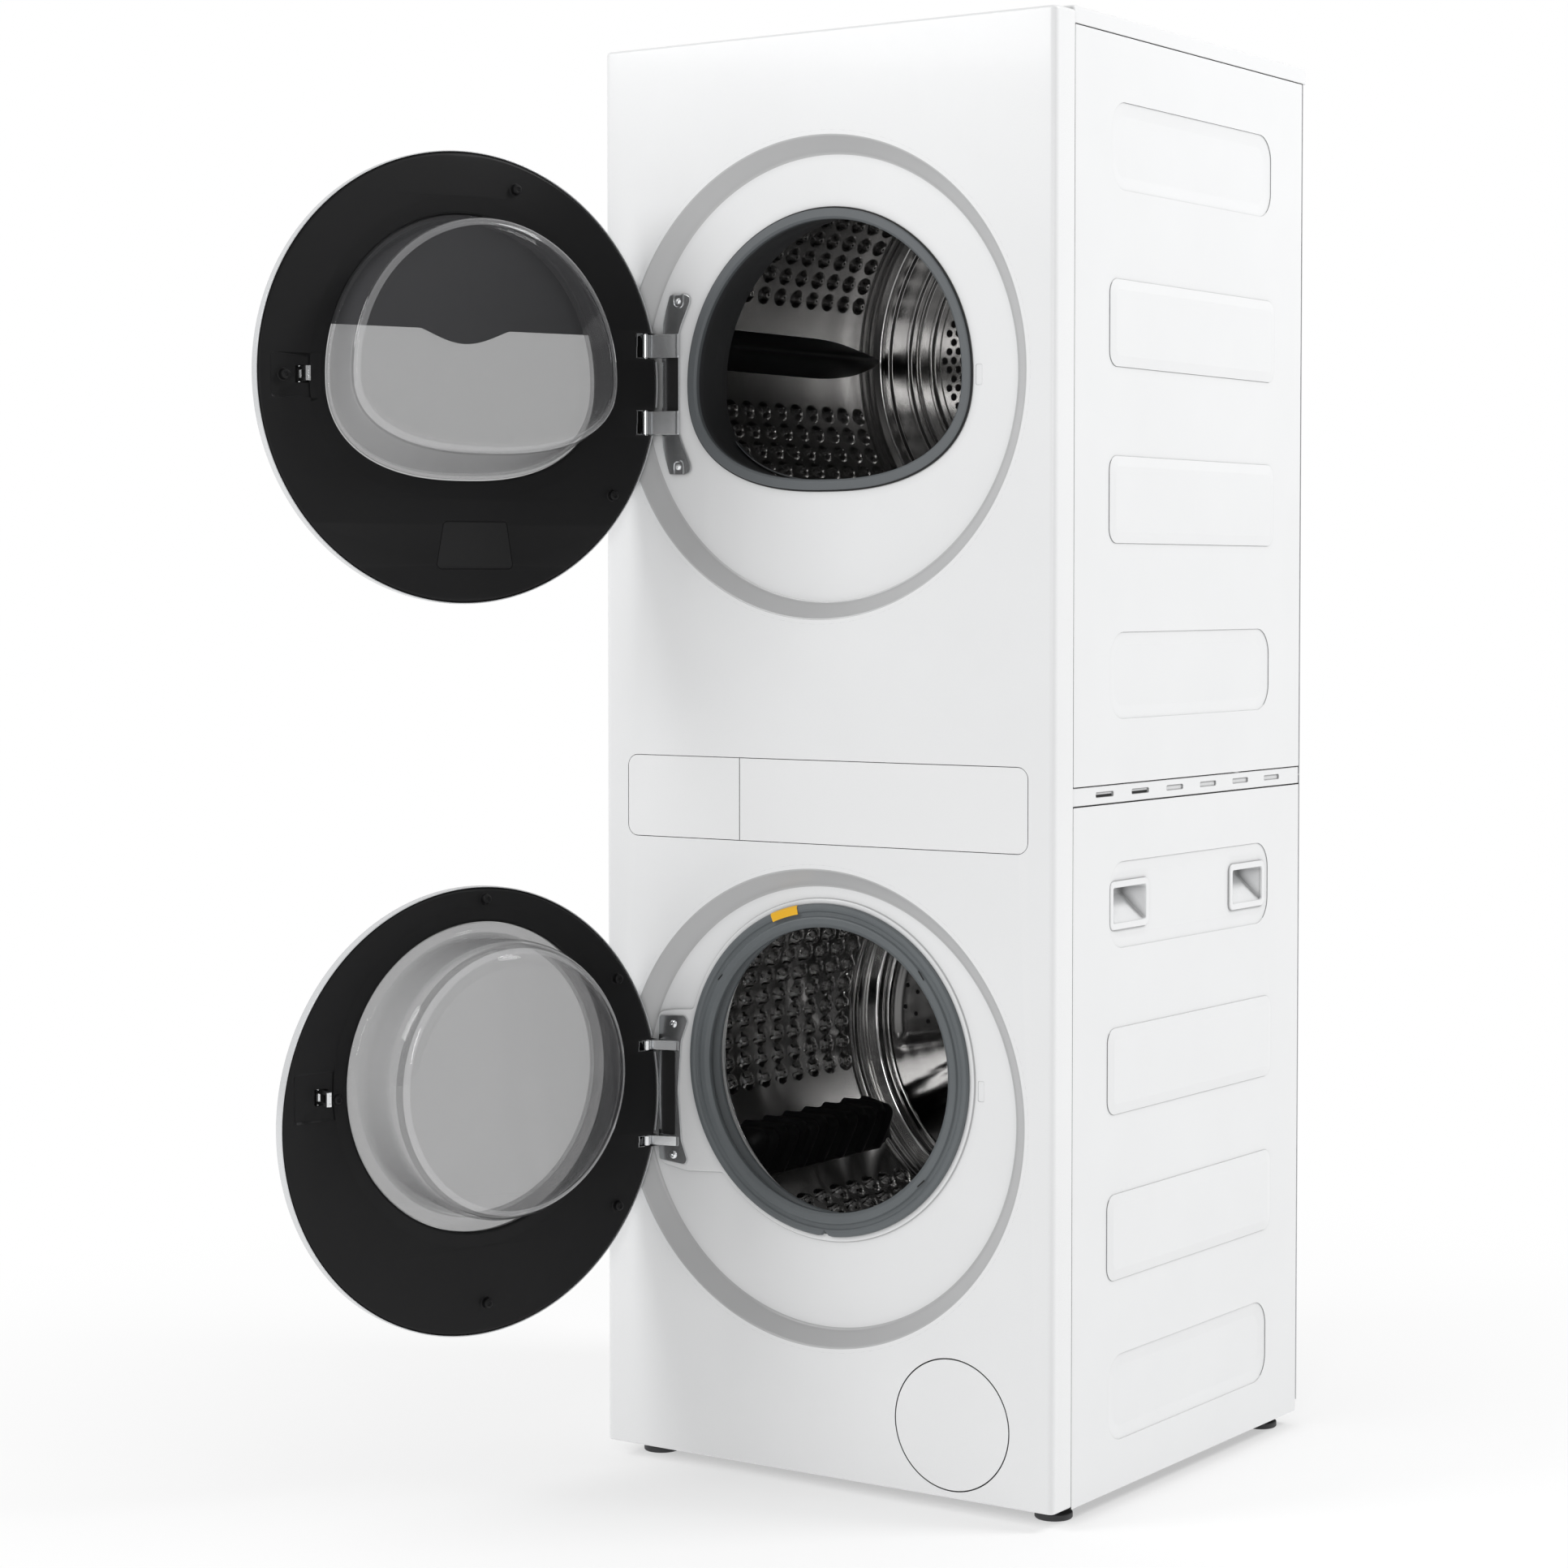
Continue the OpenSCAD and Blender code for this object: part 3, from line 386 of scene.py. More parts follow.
def make_materials():
    def drum_steel(door, colour, rough, blotch):
        return surface(colour, rough, metal=1, brushed=DRUM[door], grain=260, height=0.004, blotch=blotch,
                       rough_spread=0.02)

    return {
        "white_casing": surface((0.83, 0.835, 0.84), 0.30, blotch=0.012, height=0.03, coat=0.15, wear=0.25,
            wear_colour=(0.88, 0.88, 0.88), crease=0.9),
        # A grey for the dish walls, partly the ring's own colour and partly painted shade.
        "dish_ring": surface((0.53, 0.532, 0.535), 0.34, blotch=0.02, height=0.03, metal=0.1, crease=0.5),
        "white_enamel": surface((0.82, 0.825, 0.83), 0.36, blotch=0.012, grain=420, height=0.05, wear=0.2,
            wear_colour=(0.87, 0.87, 0.87), crease=1.0),
        "zinc_steel": surface((0.60, 0.61, 0.62), 0.42, metal=1, grain=300, height=0.05, blotch=0.07,
            speck=(70, 0.12)),
        "dark_base": surface((0.045, 0.045, 0.048), 0.55, grain=2200, height=0.12),
        "light_plastic": surface((0.74, 0.75, 0.75), 0.45, height=0.08),
        "circuit_box": surface((0.05, 0.22, 0.10), 0.5, speck=(260, 0.5)),
        "dark_plastic": surface((0.035, 0.036, 0.038), 0.5, height=0.1),
        "grey_rim": surface((0.120, 0.130, 0.137), 0.52, grain=2400, height=0.12, blotch=0.05, gloss=0.4),
        "grey_rubber": surface((0.125, 0.138, 0.145), 0.5, grain=1200, height=0.1, blotch=0.08, gloss=0.4),
        "black_rubber": surface((0.02, 0.02, 0.02), 0.6, height=0.15),
        "concrete_grey": surface((0.40, 0.395, 0.38), 0.85, grain=260, height=0.5, blotch=0.2,
            speck=(220, 0.5)),
        "damper_steel": surface((0.22, 0.23, 0.24), 0.4, metal=0.6, blotch=0.1),
        "copper_winding": surface((0.62, 0.30, 0.13), 0.35, metal=1, grain=900, height=0.4,
            stretch=(1, 6, 1), blotch=0.2),
        "bright_stainless": drum_steel("washer", (0.72, 0.715, 0.71), 0.10, 0.05),
        "dark_stainless": drum_steel("dryer", (0.45, 0.445, 0.44), 0.20, 0.06),
        # The washer drum's steel, darkened as painted shade for the deep back wall.
        "drum_back_steel": drum_steel("washer", (0.17, 0.168, 0.166), 0.20, 0.06),
        "cast_spider": surface((0.50, 0.51, 0.52), 0.5, metal=1, grain=500, height=0.25, blotch=0.1),
        "black_plastic": surface((0.0085, 0.0085, 0.009), 0.45, grain=2600, height=0.10, blotch=0.12,
            gloss=0.2, wear=0.3, wear_colour=(0.05, 0.05, 0.05)),
        "hinge_zinc": surface((0.80, 0.81, 0.82), 0.24, metal=1, grain=160, height=0.003,
            stretch=(1, 1, 0.1), blotch=0.05, rough_spread=0.02),
        "door_frame": surface((0.66, 0.67, 0.68), 0.3, metal=0.25, coat=0.3, blotch=0.02),
        "smoked_bowl": smoked((0.10, 0.10, 0.105), 0.16),
        # Painted shade and painted highlight for the lines on the bowls' rounded edges.
        "bowl_edge_dark": smoked((0.03, 0.03, 0.032), 0.45),
        "bowl_edge_light": smoked((0.55, 0.55, 0.56), 0.30, rough=0.12),
        "dark_glass": smoked((0.13, 0.13, 0.135), 0.34),
        "tag_yellow": surface((0.86, 0.47, 0.02), 0.4, blotch=0.05, height=0.05),
        # Painted shade for the step round the washer's plateau.
        "platform_step": surface((0.50, 0.50, 0.505), 0.5, blotch=0.05),
        # Painted shade for the step faces of the side pads.
        "seam_shade": surface((0.26, 0.262, 0.265), 0.5, blotch=0.05),
        # Black for marks on the gasket, and painted shade in holes, pits, slots and seam gaps.
        "black_mark": surface((0.004, 0.004, 0.004), 0.7),
        "screen_film": surface((0.03, 0.03, 0.032), 0.35, height=0.02),
        "lint_mesh": surface((0.10, 0.105, 0.11), 0.5, speck=(330, 0.9), height=0.2),
    }


MAT = make_materials()
for look, material in MAT.items():
    material.name = look


# Cabinet -----------------------------------------------------------------------------------
def mouth_platform(n=160):
    """Outline of the raised plateau round the washer mouth and its hinge plate."""
    cx, cz, r = GASKET.x, GASKET.z, GASKET_R + 7
    top, bottom = math.radians(163), math.radians(222)
    arc = [(cx + r * math.cos(a), cz + r * math.sin(a))
           for a in [bottom + (top + math.tau - bottom) * i / n for i in range(n + 1)]]
    left = [(-212, 531, 22), (-238, 527, 12), (-238.5, 500), (-239.5, 434), (-238.5, 372), (-234, 349, 14),
            (-196, 343, 20)]
    return soften([(*arc[0], 12), *arc[1:-1], (*arc[-1], 12), *left], closed=True)


def casing():
    s = Shape()
    left, right = -CASE_HI.x, CASE_HI.x
    r, edge = 16, 4                 # how round the front corners and the top edge are
    low, high = CASE_LO.z + 1.5, CASE_HI.z - edge
    panel = rounded((PANEL_LO.x - 0.8, PANEL_LO.z - 0.8), (PANEL_HI.x + 0.8, PANEL_HI.z + 0.8), 13.8)
    cover = circle(FILTER.x, FILTER.z, 73.5)
    dishes = [circle(c.x, c.z, DISH_R + 6) for c in DISH.values()]
    front = [(left + r, low), (right - r, low), (right - r, high), (left + r, high)]
    s.flat(at_y(FRONT), front, [panel, cover, *dishes])
    for outline in (panel, cover):
        s.rise(outline, ((0, FRONT), (0.15, FRONT + 0.4), (0.15, FRONT + 3)))

    def plan(inset, side):
        """One corner of the wrap, from the front face round to the rear edge of the casing."""
        back = CASE_HI.y
        path = [(right - r, FRONT + inset), (right - inset, FRONT + inset, r - inset * 0.6),
                (right - inset, back), (right - 3, back), (right - 3, FRONT + 20)]
        return [(side * x, y) for x, y in soften(path, steps=8)]

    steps = [(CASE_LO.z, 1.2), (low, 0), (high, 0)]
    steps += [(high + edge * math.sin(a), edge * (1 - math.cos(a)))
              for a in [math.pi / 2 * i / 5 for i in range(1, 6)]]
    for side in (1, -1):
        s.stack(at_z, [(plan(inset, side), z) for z, inset in steps], closed=False)
    for pair in (steps[:2], *zip(steps[2:], steps[3:])):
        s.loft([[(x, FRONT + inset, z) for x in (left + r, right - r)] for z, inset in pair], closed=False)
    for z, inset in (steps[0], steps[-1]):
        rim = plan(inset, 1)[:-2]
        s.face(s.ring([(x, y, z) for x, y in rim + [(-x, y) for x, y in rim[::-1]]]))
    for c in DISH.values():
        wall = soften([(DISH_R + 6, FRONT), (DISH_R, FRONT, 3.5), (DISH_FLOOR_R, FLOOR, 6),
                       (DISH_FLOOR_R - 7, FLOOR)], steps=6)
        # The sloping wall of each dish is painted a darker grey: partly its own colour, partly painted shade.
        for part, paint in ((wall[:2], 0), (wall[1:-2], 1), (wall[-3:], 0)):
            revolve(s, c, part, n=192, paint=paint)
    plateau = mouth_platform()
    for door, mouth in (("dryer", egg(3)), ("washer", plateau)):
        c, (x, z) = DISH[door], LATCH[door]
        slot = rounded((x - 4.5, z - 11.5), (x + 4, z + 11.5), 2)     # closed by a flap
        s.flat(at_y(FLOOR), circle(c.x, c.z, DISH_FLOOR_R - 7, 192), [mouth, slot])
        s.rise(slot, ((0, FLOOR), (-0.25, FLOOR + 0.25), (-0.3, FLOOR + 0.5)))
        s.flat(at_y(FLOOR + 0.5), grow(slot, -0.3))
    # The plateau's step is painted grey: painted shade round its edge.
    s.rise(plateau, ((0, FLOOR), (-0.5, FLOOR - 0.9), (-1.1, FLOOR - 1.8)), paint=2)
    s.rise(plateau, ((-1.1, FLOOR - 1.8), (-2.0, FLOOR - 2.4)))
    s.flat(at_y(FLOOR - 2.4), grow(plateau, -2.0), [circle(GASKET.x, GASKET.z, GASKET_R - 2)])
    piece("front_casing_skin", s, "cabinet", "white_casing dish_ring platform_step", "front_casing")


def pad(s, side, z, raised, holes=()):
    """One pressed pad: a crisp step of 1 mm at its edge, then a soft slope to its flat top."""
    half = 48
    y0, y1, slope, corner = (-179, 222, 12, 16) if raised > 0 else (-175, 213, 15, 30)

    def loop(inset):
        return rounded((y0 + inset, z - half + inset), (y1 - inset, z + half - inset),
                       max(corner - inset * 0.7, 4), n=10)

    steps = ((0, 0), (0.3, 0.85), (0.9, 1.0), (slope * 0.35, 1.6), (slope * 0.75, 2.55),
             (slope * 0.9, 2.85), (slope, 3.0))
    first = len(s.faces)
    s.stack(at_x, [(loop(inset), side * (SIDE + raised * h)) for inset, h in steps])
    # The step faces to the left and below a raised pad, above and to the right of a sunk one, are painted dark:
    # painted shade along the step.
    for k in range(first, first + len(loop(0))):
        at = s.points[s.faces[k][0]]
        low_left = ((y0 + y1) / 2 - at.y) / (y1 - y0) + (z - at.z) / (2 * half) > 0.02 * raised
        if low_left == (raised > 0):
            s.paint[k] = 1
    s.flat(at_x(side * (SIDE + raised * 3.0)), loop(slope), holes)
    return loop(0)


def side_panel(name, node, pads, grips):
    lo, hi = box(node)
    s = Shape()

    def edge(inset):
        return rounded((lo.y + SEAM + inset, lo.z + 0.5 + inset), (hi.y - inset, hi.z - 0.5 - inset),
                       1.2 - inset * 0.5, n=2)

    for side in (1, -1):
        outlines = []
        for z, raised in pads:
            holes = []
            if grips and z == pads[-1][0]:
                w, h = GRIP_W / 2 - 4, GRIP_H / 2 - 4
                holes = [rounded((y - w, GRIP_Z - h), (y + w, GRIP_Z + h), 8) for y in GRIP_Y]
            outlines.append(pad(s, side, z, raised, holes))
        s.flat(at_x(side * SIDE), edge(0.8), outlines)
        steps = [(edge(inset), side * (SIDE - drop))
                 for inset, drop in ((0.8, 0), (0.15, 0.12), (0, 0.5), (0, 3.2))]
        s.stack(at_x, steps[:2])
        # The panel's edge wall inside the seam gap is painted black: painted shade in the gap.
        s.stack(at_x, steps[1:], paint=2)
    piece(name, s, "cabinet", "white_enamel seam_shade black_mark", node)


def strips():
    """The slotted strips between the two halves; black sheets stand behind the two front slots as painted shade.
    """
    lo, hi = box("middle_strips")
    s = Shape()
    x = SIDE - 0.6
    centres = [-184.5 + 81.6 * i for i in range(6)]
    slots = [rounded((y - 20.5, 788), (y + 20.5, 795), 2.6) for y in centres]

    def edge(inset):
        return rounded((lo.y + SEAM + inset, lo.z + inset), (hi.y - inset, hi.z - inset), 0.8, n=2)

    for side in (1, -1):
        s.flat(at_x(side * x), edge(0.6), slots)
        s.stack(at_x, [(edge(inset), side * (x - drop)) for inset, drop in ((0.6, 0), (0, 0.6), (0, 3.0))])
        for i, outline in enumerate(slots):
            s.stack(at_x, [(grow(outline, out), side * (x - drop))
                           for out, drop in ((0, 0), (-0.4, 0.2), (-0.7, 1.0), (-0.9, 2.0))])
            s.flat(at_x(side * (x - 2.0)), grow(outline, -0.9))
            if i < 2:
                # A black sheet in each front slot: painted shade.
                shade_sheet_at = (outline[20][0] + 2, 789), (outline[0][0] - 2, 791.8)
                s.flat(at_x(side * (x - 1.9)), rounded(*shade_sheet_at, 0.8), paint=1)
    piece("middle_strip_skins", s, "cabinet", "white_enamel black_mark", "middle_strips")


def lid():
    lo, hi = box("top_lid")
    s = Shape()
    steps = [(3, lo.z + 6), (3, lo.z), (0.6, lo.z), (0, lo.z + 0.6), (0, hi.z - 2.5), (0.35, hi.z - 1.2),
             (1.2, hi.z - 0.35), (2.5, hi.z)]
    s.stack(at_z, [(rounded((lo.x + i, lo.y + i), (hi.x - i, hi.y - i), 4 - i * 0.4), z) for i, z in steps],
            cap=BOTH)
    piece("lid_shell", s, "cabinet", "white_enamel", "top_lid")


def grip(s, side, y):
    """A frame proud of the pad round a pocket whose floor slopes up to the back."""
    w, h = GRIP_W / 2, GRIP_H / 2
    loops = []
    for inset, x, r, up in ((0, -3.4, 8, 0), (0, -1.6, 8, 0), (0.4, -0.7, 7.7, 0), (1.4, -0.1, 7, 0),
                            (6.0, -0.1, 4, 0), (7.0, -0.5, 3.4, 0), (7.4, -1.4, 3, 0), (7.6, -4, 3, 0),
                            (8.5, -31, 3, 26), (9.5, -33, 3, 27)):
        outline = rounded((y - w + inset, GRIP_Z - h + inset), (y + w - inset, GRIP_Z + h - inset), r)
        loops.append(([(py, max(pz, GRIP_Z - h + inset + up)) for py, pz in outline], side * (SIDE + x)))
    s.stack(at_x, loops, cap=END)


def grips():
    s = Shape()
    for side in (1, -1):
        for y in GRIP_Y:
            grip(s, side, y)
    piece("hand_grip_cups", s, "cabinet", "white_casing", "hand_grips", slot="light_plastic", sharp=50)


def feet():
    s = Shape()
    pad_steps = soften([(12, 0.0), (20, 0, 1.2), (21, 1.5, 1), (21, 7, 2), (14, 9.5, 2), (12.8, 15, 1)],
                       steps=3)
    thread = [(5.0 if k % 2 else 4.3, 19 + k * 0.4) for k in range(40)]
    for x in (-266, 266):
        for y in (-238, 262):
            for steps, n in ((pad_steps, 48), (((9.2, 15), (9.2, 19.5)), 6), (thread, 24)):
                s.stack(at_z, [([(x + px, y + py) for px, py in circle(0, 0, r, n)], z) for r, z in steps],
                        cap=BOTH)
    piece("threaded_feet", s, "cabinet", "dark_base", "levelling_feet")


# Washer mouth and drum ---------------------------------------------------------------------
def gasket():
    s, r = Shape(), GASKET_R
    path = [(r + 0.5, FLOOR - 0.3), (r + 0.6, FLOOR - 4.5, 1.5), (r - 1.0, -289.0, 1.5), (r - 5, -289.4, 1),
            (r - 7.5, -288.4, 1), (r - 9, -286.4, 1.2), (r - 13, -286.2, 1.2), (r - 14.5, -288.8, 1),
            (r - 16, -289.4, 1), (165, -289.4, 3), (160.6, -286, 2), (160.6, -281.5, 2), (163, -277, 3),
            (174, -268, 3), (175, -264, 2), (166, -259, 2.5), (165, -255, 2.5), (177, -246, 3),
            (178.5, -237), (r, -237), (r, -256, 2), (179.5, -262, 2), (179.5, FLOOR - 0.3)]
    revolve(s, GASKET, soften(path, steps=3), n=240, closed=True)
    # A drain notch 12 mm wide at the foot of the outer lip.
    for p in s.points:
        dx, dz = p.x - GASKET.x, p.z - GASKET.z
        reach = math.hypot(dx, dz)
        off = abs(math.atan2(dz, dx) % math.tau - math.radians(270)) * reach
        if off < 6 and reach > r - 7 and p.y < FLOOR - 1:
            shrink = (r - 7 + (reach - r + 7) * (off / 6) ** 0.7) / reach
            p.x, p.z = GASKET.x + dx * shrink, GASKET.z + dz * shrink
    for deg, wide in ((146, 4.5), (42, 6), (-42, 6)):
        u, v = axes(math.radians(deg))
        c = Vector((GASKET.x, 0, GASKET.z)) + u * (r - 15.5)
        s.face(s.ring([c + v * t + u * w + Vector((0, -289.55, 0)) for t, w in
                       ((-wide, -0.8), (-wide, 0.8), (wide, 2.2), (wide, 0.6))]), paint=1)
    piece("door_seal_bellows", s, "cabinet", "grey_rubber black_mark", "door_gasket")
    tag = Shape()
    angles = [math.radians(101.5 + 11.5 * i / 16) for i in range(17)]
    rows = [[(GASKET.x + radius * math.cos(a), y, GASKET.z + radius * math.sin(a)) for a in angles]
            for radius, y in ((r + 0.8, -287.8), (r - 1.5, -290), (r - 9.5, -290))]
    under = [[(x, y + 0.45, z) for x, y, z in row] for row in rows]
    for sheet in (rows, under[::-1], [rows[-1], under[-1]], [rows[0], under[0]]):
        tag.loft(sheet, closed=False)
    piece("gasket_tag", tag, "cabinet", "tag_yellow", slot="grey_rubber")


def axes(angle):
    """Outwards and round, for a place at an angle about a line along y."""
    c, s = math.cos(angle), math.sin(angle)
    return Vector((c, 0, s)), Vector((-s, 0, c))


def dimple(s, centre, wall, angle, y, across, along, height):
    """A pressed bump on a drum's wall that opens into a hole on its low side."""
    n = 14
    out, turn = axes(angle)
    profile = ((1.0, 0.0, 0), (0.84, 0.12, 0), (0.66, 0.5, 0), (0.48, 0.84, 0), (0.30, 0.98, 0.1),
               (0.16, 1.0, 0.2), (0.12, 0.97, 0.22), (0.09, 0.4, 0.25))
    loops = []
    for size, lift, lean in profile:
        loop = []
        for i in range(n):
            a = math.tau * i / n
            du = across * (size * math.cos(a) - 0.30 * lean)
            dv = along * (size * math.sin(a) - 0.16 * lean)
            depth = wall - lift * height - du * du / (2 * wall)
            loop.append(Vector((centre.x, y + dv, centre.z)) + out * depth + turn * du)
        loops.append(loop)
    s.loft(loops[:7])
    # The hole at the foot of each bump is a black cap: painted shade standing in for the opening.
    s.loft(loops[6:], cap=END, paint=1)


def dimple_field(name, drum, wall, first, rows, pitch, columns, size, body, material):
    """Three sectors of dimples, the first centred at the given angle."""
    s = Shape()
    for sector in (first, first + 120, first + 240):
        for k in range(rows):
            angle = math.radians(sector + (k - (rows - 1) / 2) * pitch)
            for y in columns:
                dimple(s, drum, wall, angle, y, *size)
    piece(name, s, body, material + " black_mark", sharp=80, soft_normals=False)


def unit(t):
    return min(1, max(0, t))


def smooth(t):
    return t * t * (3 - 2 * t)


def washer_drum():
    c, (lo, hi) = DRUM["washer"], box("washer_drum")
    wall = 243.4
    s = Shape()
    outer = [(184, lo.y + 1.2), (184, lo.y, 1), (238, lo.y, 6), (246, lo.y + 8, 6), (246, hi.y - 10, 8),
             (238, hi.y, 6), (60, hi.y)]
    revolve(s, c, soften(outer, steps=4), n=160)
    inner = [(184, lo.y + 1.2), (234, lo.y + 2.5, 5), (wall, lo.y + 12, 6), (wall, 130), (239.5, 134, 2),
             (239.5, 139, 2), (wall, 143, 2), (wall, 150), (238.5, 155, 2.5), (238.5, 161, 2.5),
             (wall - 0.5, 166, 2.5), (wall - 2, 173, 4), (234, 183, 6), (224, 183, 3), (221, 179, 2),
             (214, 179, 2), (211, 183.5)]
    revolve(s, c, soften(inner, steps=4), n=160)
    # The back wall: three pressed arms between three perforated pockets, and a domed hub.
    loops = []
    for radius in (211, 207, 203, 197, 190, 175, 160, 145, 130, 115, 100, 90, 84, 78, 72, 66, 60, 50, 30, 12):
        loop = []
        for x, z in circle(0, 0, radius, 180):
            near = min(abs((math.atan2(z, x) - math.radians(arm) + math.pi) % math.tau - math.pi)
                       for arm in WASHER_ARMS)
            span = (near - math.radians(21)) * radius
            pocket = smooth(unit(span / 9) * unit((206 - radius) / 7) * unit((radius - 78) / 10))
            crease = 1.6 * math.exp(-((near * radius - 14) / 3.0) ** 2) if radius > 90 else 0
            y = 180.5 + 6.0 * pocket - 7.0 * smooth(unit((84 - radius) / 10)) + crease
            loop.append((c.x + x, y, c.z + z))
        loops.append(loop)
    # The back wall takes a far darker copy of the drum's steel: painted shade deep in the drum.
    s.loft(loops, cap=END, paint=1)
    piece("washer_drum_shell", s, "wash_drum", "bright_stainless drum_back_steel", "washer_drum", sharp=60)
    columns = [115.5 - 35.8 * k for k in range(9)]
    dimple_field("washer_drum_dimples", c, wall, 32, 15, 5.8, columns, (13.0, 16.0, 7.0),
                 "wash_drum", "bright_stainless")
    # Each perforation is a black cup: painted shade standing in for the hole.
    dots = Shape()
    for sector in WASHER_POCKETS:
        for radius in (105, 123, 141, 159, 177, 193):
            for k in range(-3, 4):
                off = k * 9.0 * 177 / max(radius, 130)
                if abs(off) <= 33:
                    a = math.radians(sector + off)
                    hole = Vector((c.x + radius * math.cos(a), 0, c.z + radius * math.sin(a)))
                    revolve(dots, hole, ((3.0, 186.4), (2.4, 185.9), (2.0, 186.2)), n=10, cap=END)
    piece("washer_back_perforations", dots, "wash_drum", "black_mark", slot="bright_stainless")


def fin(s, centre, wall, angle, ys, shape_of, across=12):
    """A drum lifter: rows of points along y; shape_of gives half width and height there."""
    out, turn = axes(angle)
    rows = []
    for y in ys:
        half, height, sway = shape_of(y)
        row = []
        for i in range(across + 1):
            t = -1 + 2 * i / across
            lift = height * (1 - abs(t) ** 2.6) ** 0.75
            du = half * math.copysign(abs(t) ** 0.85, t) * (1 - 0.55 * lift / max(height, 1)) + sway
            depth = math.sqrt(max(wall * wall - du * du, 1)) - lift + 0.6
            row.append(Vector((centre.x, y, centre.z)) + out * depth + turn * du)
        rows.append(row)
    rings = s.loft(rows, closed=False)
    for ring in (rings[0], rings[-1]):
        s.face(ring[::-1])


def washer_lifters():
    c, (lo, hi) = DRUM["washer"], box("washer_lifters")
    s = Shape()
    start, end, count = lo.y, hi.y, 132

    def shape_of(y):
        t = (y - start) / (end - start)
        ends = min(1, t * 9, (1 - t) * 9) ** 0.5 if 0 < t < 1 else 0.05
        rib = abs(math.sin(math.pi * (y - start) / 21.5))
        return (35 * (0.86 + 0.14 * ends) - 2.5 * (1 - rib), 47 * ends * (0.90 + 0.10 * rib ** 0.6),
                2.2 * math.sin(math.tau * (y - start) / 43))

    ys = [start + (end - start) * i / count for i in range(count + 1)]
    for deg in WASHER_ARMS:
        fin(s, c, 243, math.radians(deg), ys, shape_of)
    piece("washer_ribbed_lifters", s, "wash_drum", "black_plastic", "washer_lifters", sharp=60)


# Dryer mouth and drum ----------------------------------------------------------------------
def dryer_mouth():
    s = Shape()
    top = FLOOR - 4
    rim = soften([(1.0, FLOOR - 0.2), (0.6, top + 0.8, 0.8), (2.2, top, 1), (RIM - 2.5, top - 0.2, 1.5),
                  (RIM, top + 2.0, 1.2), (RIM, FLOOR + 3)], steps=3)
    tube = soften([(RIM, FLOOR + 3), (RIM + 0.2, FLOOR + 10, 4), (RIM - 3, -250, 10), (6, -225, 10),
                   (1, -212), (3.5, -212), (RIM - 4, -240), (RIM - 3, FLOOR + 2), (1.0, FLOOR - 0.2)],
                  steps=3)
    for path, paint in ((rim, 0), (tube, 1)):
        s.stack(at_y, [(egg(inset), y) for inset, y in path], paint=paint)
    piece("dryer_mouth_ring", s, "cabinet", "grey_rim dark_plastic", "dryer_mouth_collar", sharp=50)
    seal = Shape()
    seal.stack(at_y, [(egg(inset), y) for inset, y in circle(-0.3, FLOOR - 0.7, 0.8, 8)], wrap=True)
    piece("dryer_mouth_seal", seal, "cabinet", "black_rubber")


def lint_screen():
    """The filter's perforated top, which follows the lower side of the mouth."""
    s = Shape()
    lo, hi = box("lint_filter")
    top = [[(x, y, z + 0.6) for x, z in egg(inset)[84:133]]      # from the lower left to the lower right
           for inset, y in ((10.8, lo.y + 0.5), (9.6, -228), (8.2, -223.5), (6.6, -218.5), (5.4, hi.y - 0.5))]
    under = [[(x, y, z - 1.6) for x, y, z in row] for row in top]
    ends = [[[row[k] for row in sheet] for sheet in (top, under)] for k in (0, -1)]
    for sheet in (top, under[::-1], [top[0], under[0]], [top[-1], under[-1]], *ends):
        s.loft(sheet, closed=False)
    piece("lint_screen", s, "lint_tray", "lint_mesh", slot="dark_plastic")
    body = Shape()
    steps = ((2, lo.z), (0, lo.z + 3), (0, hi.z - 3), (1.5, hi.z - 0.2), (5, hi.z - 0.2), (5, hi.z - 8),
             (6, lo.z + 6))
    body.stack(at_z, [(rounded((lo.x + i, lo.y + i), (hi.x - i, hi.y - i), 5), z) for i, z in steps],
               cap=BOTH)
    for k in range(11):
        x = lo.x + 11 + 16.4 * k
        rib = rounded((x - 1, lo.y + 4), (x + 1, hi.y - 4), 0.8, n=3)
        body.stack(at_z, [(rib, hi.z - 6), (rib, hi.z - 1)], cap=BOTH)
    piece("lint_filter_frame", body, "lint_tray", "dark_plastic", "lint_filter")


